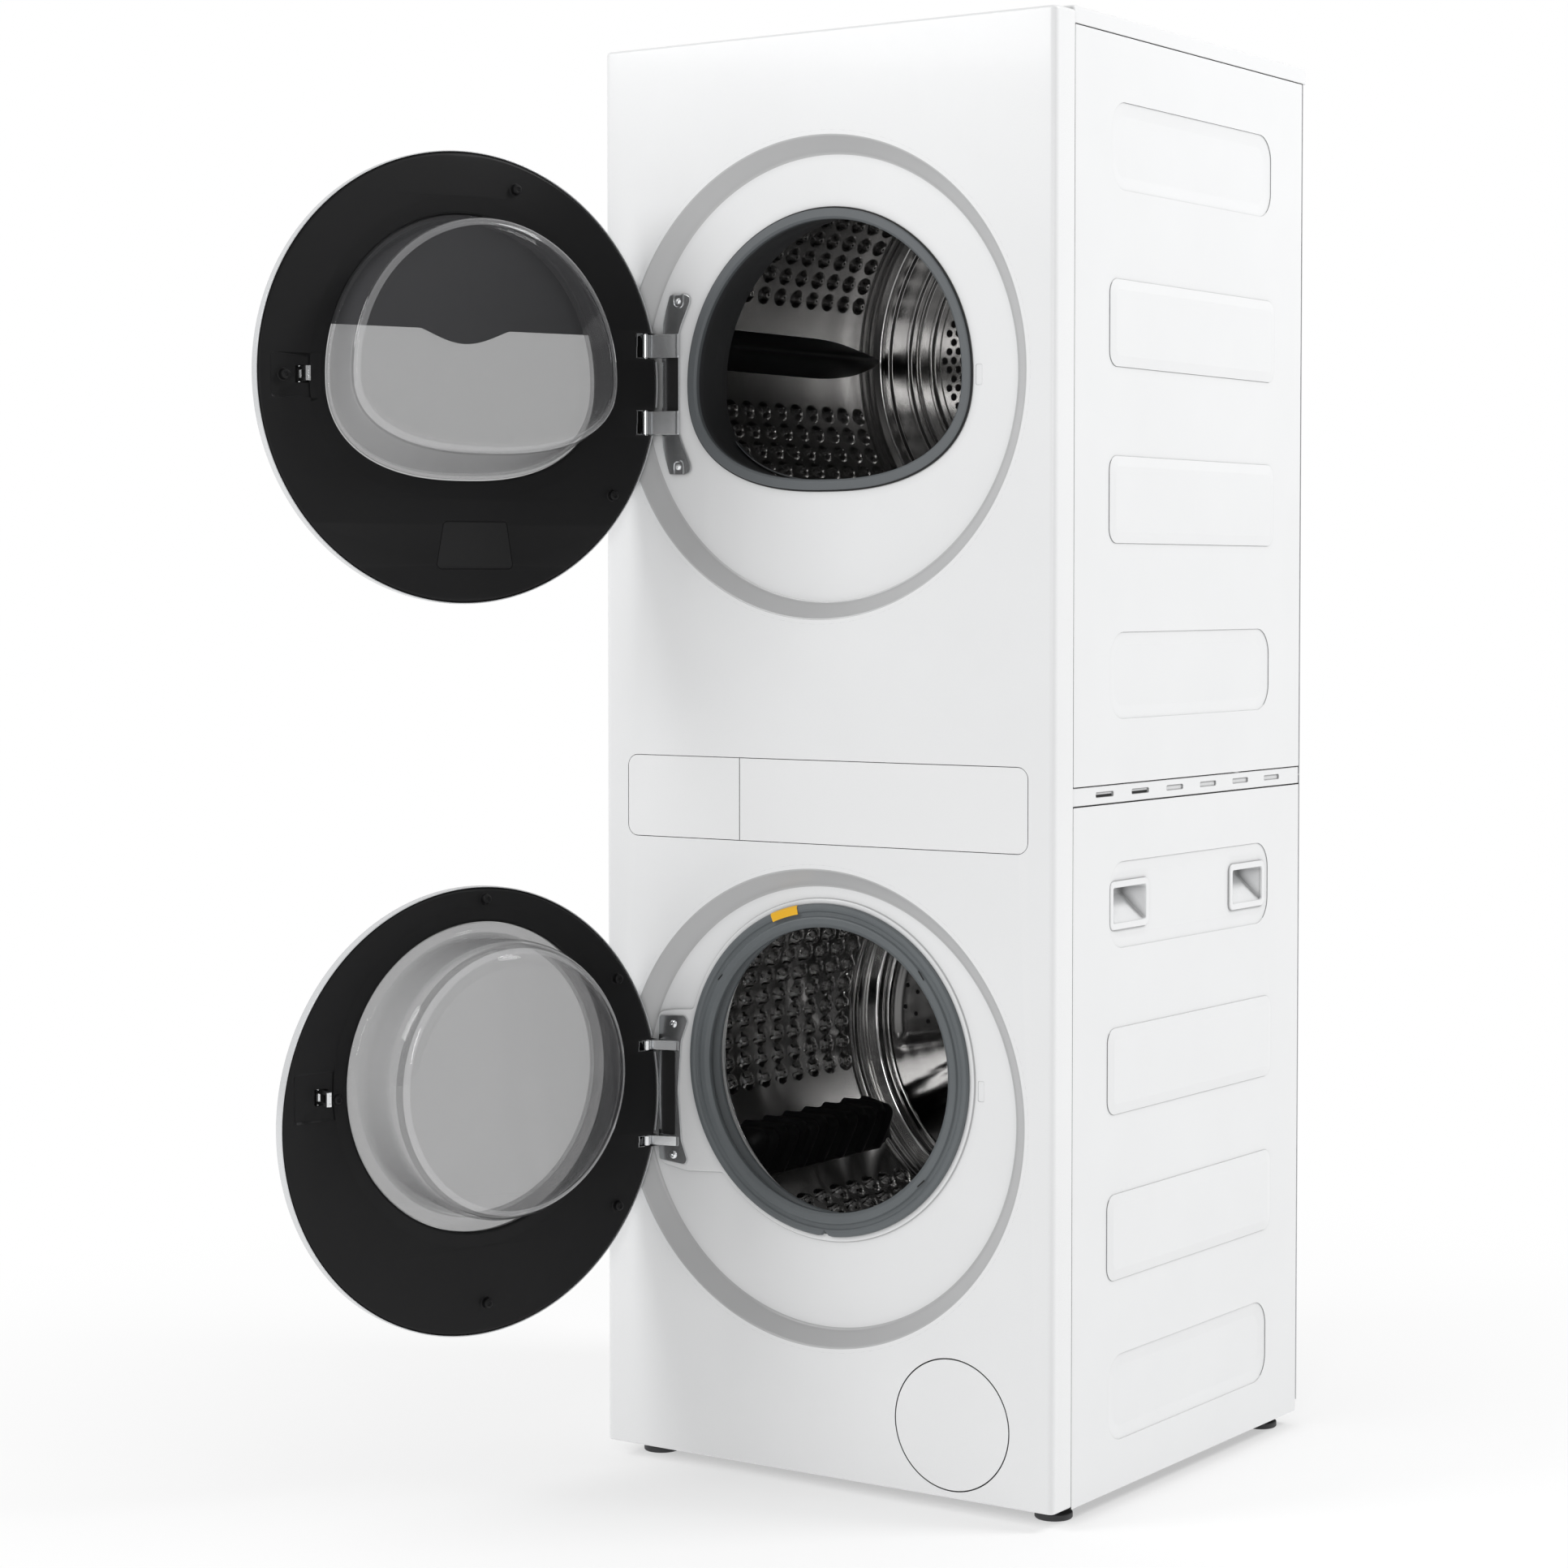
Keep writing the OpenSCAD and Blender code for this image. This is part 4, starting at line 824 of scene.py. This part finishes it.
def dryer_drum():
    c, (lo, hi) = DRUM["dryer"], box("dryer_drum")
    wall, back = 267.4, hi.y - 2.5
    s = Shape()
    outer = [(212, lo.y + 1.2), (212, lo.y, 1), (264, lo.y, 5), (270, lo.y + 6, 5), (270, hi.y - 6, 6),
             (262, hi.y, 5), (20, hi.y)]
    revolve(s, c, soften(outer, steps=4), n=160)
    inner = [(212, lo.y + 1.2), (262, lo.y + 2.5, 5), (wall, lo.y + 10, 6), (wall, 196), (265, 199, 2),
             (265, 203, 2), (wall, 206, 2), (wall, 212), (264.5, 215, 2), (264, 222, 4)]
    # The back wall, in depths from its own face: pressed rings round a flat disc and a hub.
    rings = [(256, 0, 5), (251, 0, 1.5), (249, -4, 2), (242, -4, 2), (239, 0, 1.5), (218, 0, 1.5),
             (216, -4.5, 1.6), (212, -4.5, 1.6), (209, -1, 1.5), (203, -1, 1.5), (201, -4, 1.5),
             (199, -4, 1.5), (197, 0, 1.5), (184, 0, 1.5), (182, -4, 1.6), (178, -4, 1.6), (175, 0.5, 1.5),
             (168, 0.5, 1.5), (165, -3, 2), (60, -3, 2), (52, -9, 3), (8, -9)]
    inner += [(r, back + y, *round_off) for r, y, *round_off in rings]
    revolve(s, c, soften(inner, steps=3), n=160, cap=END)
    piece("dryer_drum_shell", s, "dry_drum", "dark_stainless", "dryer_drum", sharp=60)
    columns = [180 - 35 * k for k in range(11)]
    dimple_field("dryer_drum_dimples", c, wall, 0, 17, 5.6, columns, (11.5, 14.5, 6.2),
                 "dry_drum", "dark_stainless")
    dots = Shape()
    pitch, face = 13.2, back - 3
    for row in range(-14, 15):
        for col in range(-14, 15):
            x = (col + 0.5 * (row % 2)) * pitch
            z = row * pitch * 0.866
            if 68 < math.hypot(x, z) < 159:
                hole = Vector((c.x + x, 0, c.z + z))
                revolve(dots, hole, ((4.9, face - 0.05), (4.4, face - 0.9), (3.9, face - 0.3)), n=12)
                # The floor of each hole is black: painted shade standing in for the opening.
                revolve(dots, hole, ((3.9, face - 0.3), (0.8, face - 0.3)), n=12, cap=END, paint=1)
    piece("dryer_back_perforations", dots, "dry_drum", "dark_stainless black_mark", sharp=60,
          soft_normals=False)


def dryer_lifters():
    c, (lo, hi) = DRUM["dryer"], box("dryer_lifters")
    s = Shape()
    start, end, straight = lo.y, DRUM["dryer"].y * 2 - box("dryer_drum")[0].y - 8, 90

    def shape_of(y):
        if y <= straight:
            return 25, 52, 0
        t = (y - straight) / (end - straight)
        taper = math.sqrt(max(0.0, 1 - t ** 1.7))
        return 25 * max(taper, 0.05), 52 * max(taper, 0.03), 0

    ys = [start + (straight - start) * i / 20 for i in range(20)]
    ys += [straight + (end - straight) * math.sin(math.pi / 2 * i / 40) for i in range(41)]
    for deg in (180, 300, 60):
        fin(s, c, 267, math.radians(deg), ys, shape_of, across=16)
    piece("dryer_fin_lifters", s, "dry_drum", "black_plastic", "dryer_lifters", sharp=60)


# Doors -------------------------------------------------------------------------------------
def turn_edge(s, limit):
    """Turns the hinge side of a door round the hinge line, so that it clears the dish."""
    for p in s.points:
        if p.x < HINGE.x:
            dx, dy = p.x - HINGE.x, p.y - HINGE.y
            reach = math.hypot(dx, dy)
            if reach > limit:
                p.x, p.y = HINGE.x + dx * limit / reach, HINGE.y + dy * limit / reach


def arm_gaps(door, room):
    """The spans of height that a door leaves free for its hinge arms."""
    return [(DISH[door].z + a - h / 2 - room, DISH[door].z + a + h / 2 + room) for a, h in ARMS[door]]


def door_outline(door, r, notch_x, n=240):
    """A circle with a notch at each hinge arm."""
    c = DISH[door]
    out = []
    gaps = arm_gaps(door, 1)
    for (x, z), point in zip(circle(c.x, c.z, LINER_R, n), circle(c.x, c.z, r, n)):
        gap = next((g for g in gaps if x < c.x and g[0] < z < g[1]), None)
        if gap is None:
            out.append(point)
        elif (notch_x, gap[0]) not in out:
            rim = [(c.x - math.sqrt(r * r - (edge - c.z) ** 2), edge) for edge in gap[::-1]]
            out += [rim[0], (notch_x, gap[1]), (notch_x, gap[0]), rim[1]]
    return out


def door_liner(door):
    c = DISH[door]
    s = Shape()
    notch = HINGE.x + 16
    lx, lz = LATCH[door]
    rims = [(LINER_R - 4, 0), (LINER_R - 2.2, 0.45), (LINER_R - 0.8, 1.6), (LINER_R, 3.6), (LINER_R, 11)]
    s.stack(at_y, [(door_outline(door, r, notch), FACE - drop) for r, drop in rims])
    if door == "dryer":
        window = [(bowl_outline(169.5 + g, 181.5 + g, 114.5 + g), d) for g, d in
                  ((20, 0), (18.6, 0.7), (3.2, 1.2), (0.9, 1.7), (0, 2.8), (0, 6))]
        recess = rounded((169, 1223), (230, 1272), 5)
    else:
        window = [(circle(WINDOW.x, WINDOW.z, r, 192), d) for r, d in
                  ((191, 0), (189.5, 0.6), (177, -0.6), (174.6, -0.2), (173.3, 1.2), (173.2, 6))]
        recess = rounded((176.5, 441), (231, 496), 5)
    s.stack(at_y, [(outline, FACE - drop) for outline, drop in window])
    pit = rounded((lx - 12, lz - 9.5), (lx + 6, lz + 9.5), 2)
    floor = 1.6
    s.rise(recess, ((0, FACE), (-0.5, FACE - 0.3), (-2.5, FACE - floor)))
    s.flat(at_y(FACE - floor), grow(recess, -2.5), [pit])
    # The latch pit is painted black inside: painted shade.
    s.rise(pit, ((0, FACE - floor), (-0.4, FACE - floor - 0.5), (-0.4, FACE - 10)), cap=END, paint=1)
    holes = [window[0][0], recess]
    if door == "dryer":
        corners = (22, 1092), (-58, 1092), (-66, 1042), (-62, 1038), (27, 1038), (31, 1042)
        cover = soften([(*corner, 6) for corner in corners], closed=True)
        holes.append(cover)
        s.rise(cover, ((0, FACE), (-0.3, FACE - 0.6), (-0.9, FACE - 0.6), (-1.2, FACE - 0.05)))
        s.flat(at_y(FACE - 0.05), grow(cover, -1.2))
    s.flat(at_y(FACE), door_outline(door, rims[0][0], notch), holes)
    for x, dz, tall in PEGS[door]:
        peg = Vector((x, 0, c.z + dz))
        base = FACE - (floor if lx - 30 < x and abs(c.z + dz - lz) < 26 else 0)
        tip = FACE + tall
        path = soften([(7.2, base), (6.0, base + 0.6, 1), (5.4, tip - 1.2, 1), (3.8, tip, 1), (2.4, tip, 0.6),
                       (1.8, tip - 1), (0.4, tip - 1)], steps=3)
        revolve(s, peg, path, n=28, cap=END)
    # The pockets for the hinge arms are painted black inside: painted shade.
    for z0, z1 in arm_gaps(door, 1):
        corners = ((FACE, z0), (FACE, z1), (FACE - 17, z1), (FACE - 17, z0))
        near, far = (s.ring([(x, y, z) for y, z in corners]) for x in (notch, HINGE.x - 13))
        s.face(near, 1)
        for i, j in ((1, 2), (2, 3), (3, 0)):
            s.face([near[i], near[j], far[j], far[i]], 1)
    turn_edge(s, 14.6)
    s.moved(SWING[door])
    piece(door + "_door_inner_cover", s, door + "_door", "black_plastic black_mark", door + "_door_liner",
          sharp=42)


def door_shell(door):
    c, s = DISH[door], Shape()

    def past_glass(path):
        """Depths from the outside of the pane, which is 29 mm in front of the door's inner face."""
        return [(r, FACE - 29 + y, *round_off) for r, y, *round_off in path]

    path = past_glass([(226, 10), (226, 2.2, 1.2), (238, 5.4, 20), (248, 11, 8), (251.5, 17, 5),
                       (251.5, 28.3, 0.6), (250.4, 28.3), (250.4, 16), (214, 16), (214, 13), (225, 13)])
    revolve(s, c, soften(path, steps=5), n=240, closed=True)
    keep = []
    for f in s.faces:
        corners = [s.points[i] for i in f]
        mid = sum(corners, Vector()) / len(f)
        low, high = min(p.z for p in corners), max(p.z for p in corners)
        if mid.x >= HINGE.x + 12 or mid.y <= HINGE.y - 9 or not any(
                low < end and high > start for start, end in arm_gaps(door, 0.6)):
            keep.append(f)
    s.faces, s.paint = keep, [0] * len(keep)
    turn_edge(s, 15.3)
    s.moved(SWING[door])
    piece(door + "_door_frame_ring", s, door + "_door", "door_frame", door + "_door_shell")
    g = Shape()
    pane = past_glass([(0.5, 0), (150, 0.2), (205, 0.9), (222, 2.0, 2), (225.6, 3.6, 1), (225.6, 7, 0.5),
                       (214, 5.9), (150, 4.9), (0.5, 4.7)])
    revolve(g, c, soften(pane, steps=3), n=192, cap=BOTH)
    g.moved(SWING[door])
    piece(door + "_door_front_pane", g, door + "_door", "dark_glass", door + "_door_glass")


def bowl(s, door, outside, inside, bands):
    """A clear bowl between two walls; past the depths in bands its rounded edge takes a painted dark line (painted
    shade), then a painted highlight, then is clear again.
    """
    rings = [s.ring([(x, y, z) for x, z in outline]) for outline, y in outside]
    for a, b, (_, y) in zip(rings, rings[1:], outside):
        # Bands of the rounded edge carry a painted dark line and a painted highlight.
        s.bridge(a, b, paint=sum(y - FACE >= band for band in bands) % 3)
    s.face(rings[-1])
    lows = s.stack(at_y, inside, cap=START)
    s.bridge(lows[-1], rings[0])
    s.moved(SWING[door])
    piece(door + "_door_clear_bowl", s, door + "_door", "smoked_bowl bowl_edge_dark bowl_edge_light",
          door + "_door_bowl", sharp=70)


def dryer_bowl():
    s = Shape()
    # (half width, height above, height below, depth past the door's face)
    outside = [(168, 180, 113, -4), (168, 180, 113, 0.2), (167.4, 179, 112, 0.8), (166.6, 175.2, 109.8, 0.9),
               (166.2, 174.4, 109, 2.2), (165.8, 174.1, 99, 24), (165.5, 173.6, 89, 49),
               (165, 173, 87.6, 52.5), (163.8, 171.6, 85.7, 55.6), (161, 168.6, 82.6, 57.8),
               (157, 164.4, 78.4, 59.2), (152, 159, 73.4, 59.9), (140, 146, 62, 60)]
    inside = [(138, 144, 60, 56.6), (149, 156, 70, 56.5), (155, 162, 76, 55.4), (159.6, 167, 81, 52.6),
              (161.6, 169.6, 83.6, 48.5), (162, 170.9, 95, 24), (162.4, 171.3, 105, 2), (163, 171.6, 106, -4)]
    outside, inside = ([(bowl_outline(*row[:3]), FACE + row[3]) for row in rows]
                       for rows in (outside, inside))
    bowl(s, "dryer", outside, inside, (52, 55, 58.5))


def dryer_shade():
    """The film across the upper half of the dryer's window, with a dip in its lower edge."""
    s = Shape()
    c, y = DISH["dryer"], FACE - 20.5
    dip = [16 * math.cos(math.pi / 2 * min(1, abs(x + 17) / 56)) ** 1.15 for x in range(-196, 184, 3)]
    arc = [math.radians(15.6 + (164.4 - 15.6) * i / 60) for i in range(61)]
    outline = [(c.x + 205 * math.cos(a), c.z + 205 * math.sin(a)) for a in arc]
    outline += [(x, 1306 - down) for x, down in zip(range(-196, 184, 3), dip)]
    s.rise(outline, ((0, y), (0, y + 1.0)))
    s.flat(at_y(y), outline)
    s.flat(at_y(y + 1.0), outline)
    s.moved(SWING["dryer"])
    piece("dryer_door_shade", s, "dryer_door", "screen_film", slot="dark_glass")


def washer_bowl():
    s = Shape()
    c = Vector((GASKET.x - 1.5, 0, GASKET.z))
    flange = [(172.6, -4), (172.6, 0.1), (172.0, 0.5), (169.5, 0.5)]
    body = [(162.4, 0.7), (159.0, 2.2), (157.6, 6), (156.6, 20), (155.4, 42), (155.0, 55), (154.0, 64),
            (151.4, 72.5), (147.0, 79), (141.0, 83.6), (135.5, 85.8), (130, 86.7), (60, 87.7), (0.5, 88)]
    body = body[:3] + soften([(*p, 3) for p in body[2:6]], steps=3) + body[6:]
    inner = [(0.5, 83.8), (60, 83.6), (128, 82.8), (133, 82), (138, 80), (143.4, 76), (147.6, 70), (150, 62),
             (151, 54), (151.6, 42), (152.6, 20), (153.4, 4), (157.4, -4)]
    outside = [(circle(at.x, at.z, r, 192), FACE + y)
               for at, rows in ((WINDOW, flange), (c, body)) for r, y in rows]
    bowl(s, "washer", outside, [(circle(c.x, c.z, r, 192), FACE + y) for r, y in inner], (71, 75, 81))


# Hinges and locks --------------------------------------------------------------------------
def plate(s, outline, y0, y1, holes=(), bevel=0.5):
    """A pressed plate between two depths, with soft front edges."""
    s.flat(at_y(y0), grow(outline, -bevel), holes)
    s.rise(outline, ((-bevel, y0), (-bevel * 0.3, y0 + bevel * 0.3), (0, y0 + bevel), (0, y1)))
    for hole in holes:
        s.rise(hole, ((0, y0), (0, y1)))


def normals(path):
    """The direction square to an open path at each of its points."""
    out = []
    for before, after in zip([path[0], *path], [*path[1:], path[-1]]):
        along = Vector(after) - Vector(before)
        out.append(Vector((along.y, -along.x)).normalized())
    return out


def hinge_arm(s, x_root, z, h):
    """A strip from the plate that bends forward and curls round the pin."""
    curl, thick = 4.6, 2.2
    path = [(x_root, FLOOR - 3.2), (x_root - 3, FLOOR - 3.4, 4), (HINGE.x + 9, HINGE.y + 6.5, 6),
            (HINGE.x + 2, HINGE.y + curl, 4)]
    line = soften(path, steps=6)
    line += [(HINGE.x + curl * math.cos(a), HINGE.y + curl * math.sin(a)) for a in
             [math.radians(100 + 250 * i / 16) for i in range(17)]]
    loops = []
    e, half = 0.35, h / 2
    for p, normal in zip(line, normals(line)):
        side = normal * thick / 2
        a, b = Vector(p) + side, Vector(p) - side
        ia, ib = Vector(p) + side * 0.6, Vector(p) - side * 0.6
        loops.append([(a.x, a.y, z - half + e), (a.x, a.y, z + half - e), (ia.x, ia.y, z + half),
                      (ib.x, ib.y, z + half), (b.x, b.y, z + half - e), (b.x, b.y, z - half + e),
                      (ib.x, ib.y, z - half), (ia.x, ia.y, z - half)])
    s.loft(loops, cap=BOTH)


def pan_screw(s, x, z, y, r=4.2):
    c = Vector((x, 0, z))
    revolve(s, c, soften([(r, y), (r, y - 0.9, 0.8), (r * 0.55, y - 2.0, 1), (1.3, y - 2.2)], steps=4), n=32)
    revolve(s, c, [(1.3, y - 2.2), (1.3, y - 0.9), (0.2, y - 0.9)], n=6, cap=END)


def hinge_window_shade(door, outline, y0, y1):
    """A black sheet behind a bracket's window: painted shade standing in for the dark opening."""
    s = Shape()
    s.flat(at_y(y0), outline)
    s.rise(outline, ((0, y0), (0, y1)))
    piece(door + "_hinge_window_shade", s, "cabinet", "black_plastic")


def dryer_hinge():
    c = DISH["dryer"]
    s = Shape()
    y0, y1 = FLOOR - 2.4, FLOOR - 0.1
    for sign in (1, -1):
        def z(v):
            return c.z + sign * v
        outline = [(-229, 57, 1), (-207, 57, 1), (-203, 68, 3), (-191.5, 92, 8), (-190.5, 100, 6),
                   (-199, 103, 3), (-219, 102.5, 2), (-224.5, 86, 8), (-228.5, 70, 6)]
        outline = soften([(x, z(v), radius) for x, v, radius in outline[::-sign]], closed=True)
        plate(s, outline[::-sign], y0, y1)
        # A raised lip round the screw, open at the plate's end.
        track = soften([(-213.5, z(103)), (-213.5, z(88), 6.5), (-200.5, z(88), 6.5), (-200.5, z(103))],
                       steps=8)
        rows = [[(p[0] + n.x * w, y0 - rise, p[1] + n.y * w) for p, n in zip(track, normals(track))]
                for w, rise in ((-1.3, 0), (-0.6, 1.4), (0.6, 1.4), (1.3, 0))]
        s.loft(rows, closed=False)
        pan_screw(s, -207, z(95), y0 - 0.05, 3.4)
    for x0, x1, x2 in ((-231, -230, -224), (-208.4, -207.2, -206.8)):
        plate(s, [(x0, c.z + 58), (x1, c.z + 30), (x1, c.z - 30), (x0, c.z - 58), (x2, c.z - 58),
                  (x2, c.z - 30), (x2, c.z + 30), (x2, c.z + 58)], y0, y1, bevel=0.3)
    for a, h in ARMS["dryer"]:
        hinge_arm(s, -207, c.z + a, h)
    piece("dryer_hinge_bracket", s, "cabinet", "hinge_zinc", "hinge_brackets hinge_screws", sharp=35)


def bar(s, xs, zs, steps):
    """A square bar along y; a step is how far its corners are drawn in, and its y."""
    s.loft([[(xs[0] + i, y, zs[0] + i), (xs[1] - i, y, zs[0] + i), (xs[1] - i, y, zs[1] - i),
             (xs[0] + i, y, zs[1] - i)] for i, y in steps], cap=BOTH)


def stirrups():
    """Bright wire brackets in the door's pockets, round the ends of the hinge arms."""
    for door in SWING:
        c = DISH[door]
        s = Shape()
        for a, h in ARMS[door]:
            z = c.z + a
            x0, x1, y0, y1 = HINGE.x + 6, HINGE.x + 15.2, FACE - 2.4, FACE - 0.9
            bars = [(x1 - 1.3, x1, z - h / 2 - 0.7, z - 1.0), (x1 - 1.9, x1 - 0.6, z - 1.0, z + h / 2 + 0.7)]
            bars += [(x0, x1, z + e * (h / 2 + 0.45) - 0.3, z + e * (h / 2 + 0.45) + 0.3) for e in (-1, 1)]
            for a0, a1, b0, b1 in bars:
                bar(s, (a0, a1), (b0, b1), ((0.15, y0), (0, y0 + 0.3), (0, y1 - 0.2), (0.15, y1)))
        s.moved(SWING[door])
        piece(door + "_hinge_stirrups", s, door + "_door", "hinge_zinc", sharp=30)


def washer_hinge():
    c, s = DISH["washer"], Shape()
    y0, y1 = FLOOR - 4, FLOOR - 2.45
    edge = [(-234, 88, 4), (-236.5, 0), (-234, -80, 4), (-198, -83, 5), (-194.5, -78, 4), (-203, -56, 8),
            (-207.5, 3, 60), (-203, 60, 8), (-193.5, 84, 4), (-198, 90, 5)]
    edge = soften([(x, c.z + z, *radius) for x, z, *radius in edge], steps=5, closed=True)
    window = rounded((-231, c.z - 50), (-211.5, c.z + 48), 3)
    plate(s, edge, y0, y1, [window])
    for z in (c.z + 79, c.z - 73):
        pan_screw(s, -214, z, y0 - 0.05, 4.6)
    for a, h in ARMS["washer"]:
        hinge_arm(s, -207, c.z + a, h)
    piece("washer_hinge_bracket", s, "cabinet", "hinge_zinc", sharp=35)
    # A black sheet behind the bracket's window: painted shade.
    hinge_window_shade("washer", grow(window, 1.5), FLOOR - 2.45, FLOOR - 2.2)


def latch_hook(door):
    """A bent strip with a window in it, so that two bars and a cross piece show."""
    (x, z), s = LATCH[door], Shape()
    for x0, x1, y0, y1, z0, z1 in (
            (-3, 0, -8.5, 19.9, -8, -4.2), (-3, 0, -8.5, 19.9, 4.2, 8), (-3, -0.2, 15.5, 19.7, -4.4, 4.4),
            (-3, -0.2, -8.6, -3.5, -4.4, 4.4), (-0.4, 2.9, 16.2, 19.8, -7.8, 7.8)):
        y0, y1 = FACE + y0, FACE + y1
        bar(s, (x + x0, x + x1), (z + z0, z + z1), ((0.35, y0), (0, y0 + 0.35), (0, y1 - 0.35), (0.35, y1)))
    pin = circle(x - 1.5, FACE - 7, 1.95, 20)
    s.stack(at_z, [(pin, z - 10.4), (pin, z + 10.4)], cap=BOTH)
    s.moved(SWING[door])
    piece(door + "_latch_strip", s, door + "_latch", "hinge_zinc", door + "_latch_hook", sharp=30)


# Carried CAD nodes -------------------------------------------------------------------------
def carry_nodes():
    """Every CAD node gets its slot's material; the fascia, the drawer and the filter cover also get soft edges and
    evened normals.
    """
    crisp = {"control_fascia", "detergent_drawer", "drain_filter_cover"}
    for name, obj in frame["nodes"].items():
        material = MAT[SLOT_OF[name]]
        if obj.material_slots:
            for slot in obj.material_slots:
                slot.material = material
        else:
            obj.data.materials.append(material)
        if name in crisp:
            soft = obj.modifiers.new("soft_edges", "BEVEL")
            soft.width, soft.segments, soft.angle_limit = 0.5 * MM, 2, math.radians(50)
            soft.limit_method = "ANGLE"
            obj.modifiers.new("even_normals", "WEIGHTED_NORMAL").keep_sharp = True


# Stage, light and camera -------------------------------------------------------------------
def floor():
    mesh = bpy.data.meshes.new("studio_floor")
    mesh.from_pydata([(-9, -9, 0), (9, -9, 0), (9, 9, 0), (-9, 9, 0)], [], [(0, 1, 2, 3)])
    material = bpy.data.materials.new("pale_floor")
    add = node_tools(material)
    far = add("VectorMath", {"operation": "LENGTH"}, _0=add("TexCoord").outputs["Object"]).outputs["Value"]
    matte = add("BsdfDiffuse", Color=(0.9, 0.9, 0.9, 1))
    glow = add("Emission", Color=(1, 1, 1, 1), Strength=1.0)
    add("OutputMaterial", Surface=add(
        "MixShader", _0=spread(add, far, 0.45, 1.0, (0.1, 1.8), interpolation_type="SMOOTHSTEP"),
        _1=matte, _2=glow))
    mesh.materials.append(material)
    put("studio_floor", mesh)


def area(name, place, aim, size, power):
    light = bpy.data.lights.new(name, "AREA")
    light.shape, light.size, light.size_y, light.energy = "RECTANGLE", size[0], size[1], power
    obj = put(name, light)
    obj.location = place
    obj.rotation_euler = (Vector(aim) - Vector(place)).to_track_quat("-Z", "Y").to_euler()


def light():
    """A soft room, lighter above and to the front left, that the camera itself sees as white."""
    world = bpy.data.worlds.new("studio")
    bpy.context.scene.world = world
    add = node_tools(world)
    x, y, z = add("SeparateXYZ", _0=add("TexCoord").outputs["Generated"]).outputs

    def ramp(value, start, end, low, high):
        return spread(add, value, low, high, (start, end), interpolation_type="SMOOTHSTEP")

    sky = ramp(z, -0.6, 0.8, 0.34, 0.72)
    side = ramp(maths(add, "SUBTRACT", x, y), -0.4, 1.1, 1.15, 0.5)
    around = add("Background", Color=(1, 1, 1, 1), Strength=maths(add, "MULTIPLY", sky, side))
    seen = add("Background", Color=(1, 1, 1, 1), Strength=1.0)
    by_camera = add("LightPath").outputs["Is Camera Ray"]
    add("OutputWorld", Surface=add("MixShader", _0=by_camera, _1=around, _2=seen))
    area("key_light", (-1.9, -3.2, 2.9), (0, -0.3, 1.3), (1.3, 1.6), 52)
    area("side_light", (3.1, 1.3, 3.7), (0.3, 0, 1.0), (1.5, 1.5), 100)
    area("mouth_light", (1.5, -3.2, 1.5), (0, 0, 0.9), (0.3, 1.2), 13)
    bpy.context.scene.view_settings.view_transform = "Standard"


def camera():
    """Fitted to the cabinet's corners, with its width fixed: 34 degrees from the front, 2 degrees down."""
    data = bpy.data.cameras.new("camera")
    data.sensor_width, data.lens = 36, 79.66
    data.shift_y = -0.0483
    cam = put("camera", data)
    yaw, pitch = math.radians(34.28), math.radians(2.06)
    forward = Vector((-math.sin(yaw) * math.cos(pitch), math.cos(yaw) * math.cos(pitch), -math.sin(pitch)))
    cam.location = (2.1444, -3.5183, 1.0224)
    cam.rotation_euler = forward.to_track_quat("-Z", "Y").to_euler()
    bpy.context.scene.camera = cam


def panels():
    side_panel("upper_panel_skins", "upper_side_panels", UPPER_PADS, False)
    side_panel("lower_panel_skins", "lower_side_panels", LOWER_PADS, True)


for build in (camera, light, floor, casing, panels, strips, lid, grips, feet, gasket, washer_drum,
              washer_lifters, dryer_mouth, lint_screen, dryer_drum, dryer_lifters):
    build()
for door in SWING:
    door_liner(door)
    door_shell(door)
    latch_hook(door)
for build in (dryer_bowl, dryer_shade, washer_bowl, dryer_hinge, washer_hinge, stirrups):
    build()
# A black sheet behind the dryer bracket's window: painted shade.
hinge_window_shade("dryer", rounded((-224.5, MOUTH.z - 57), (-207.6, MOUTH.z + 57), 2), FLOOR - 0.9, FLOOR - 0.05)
carry_nodes()
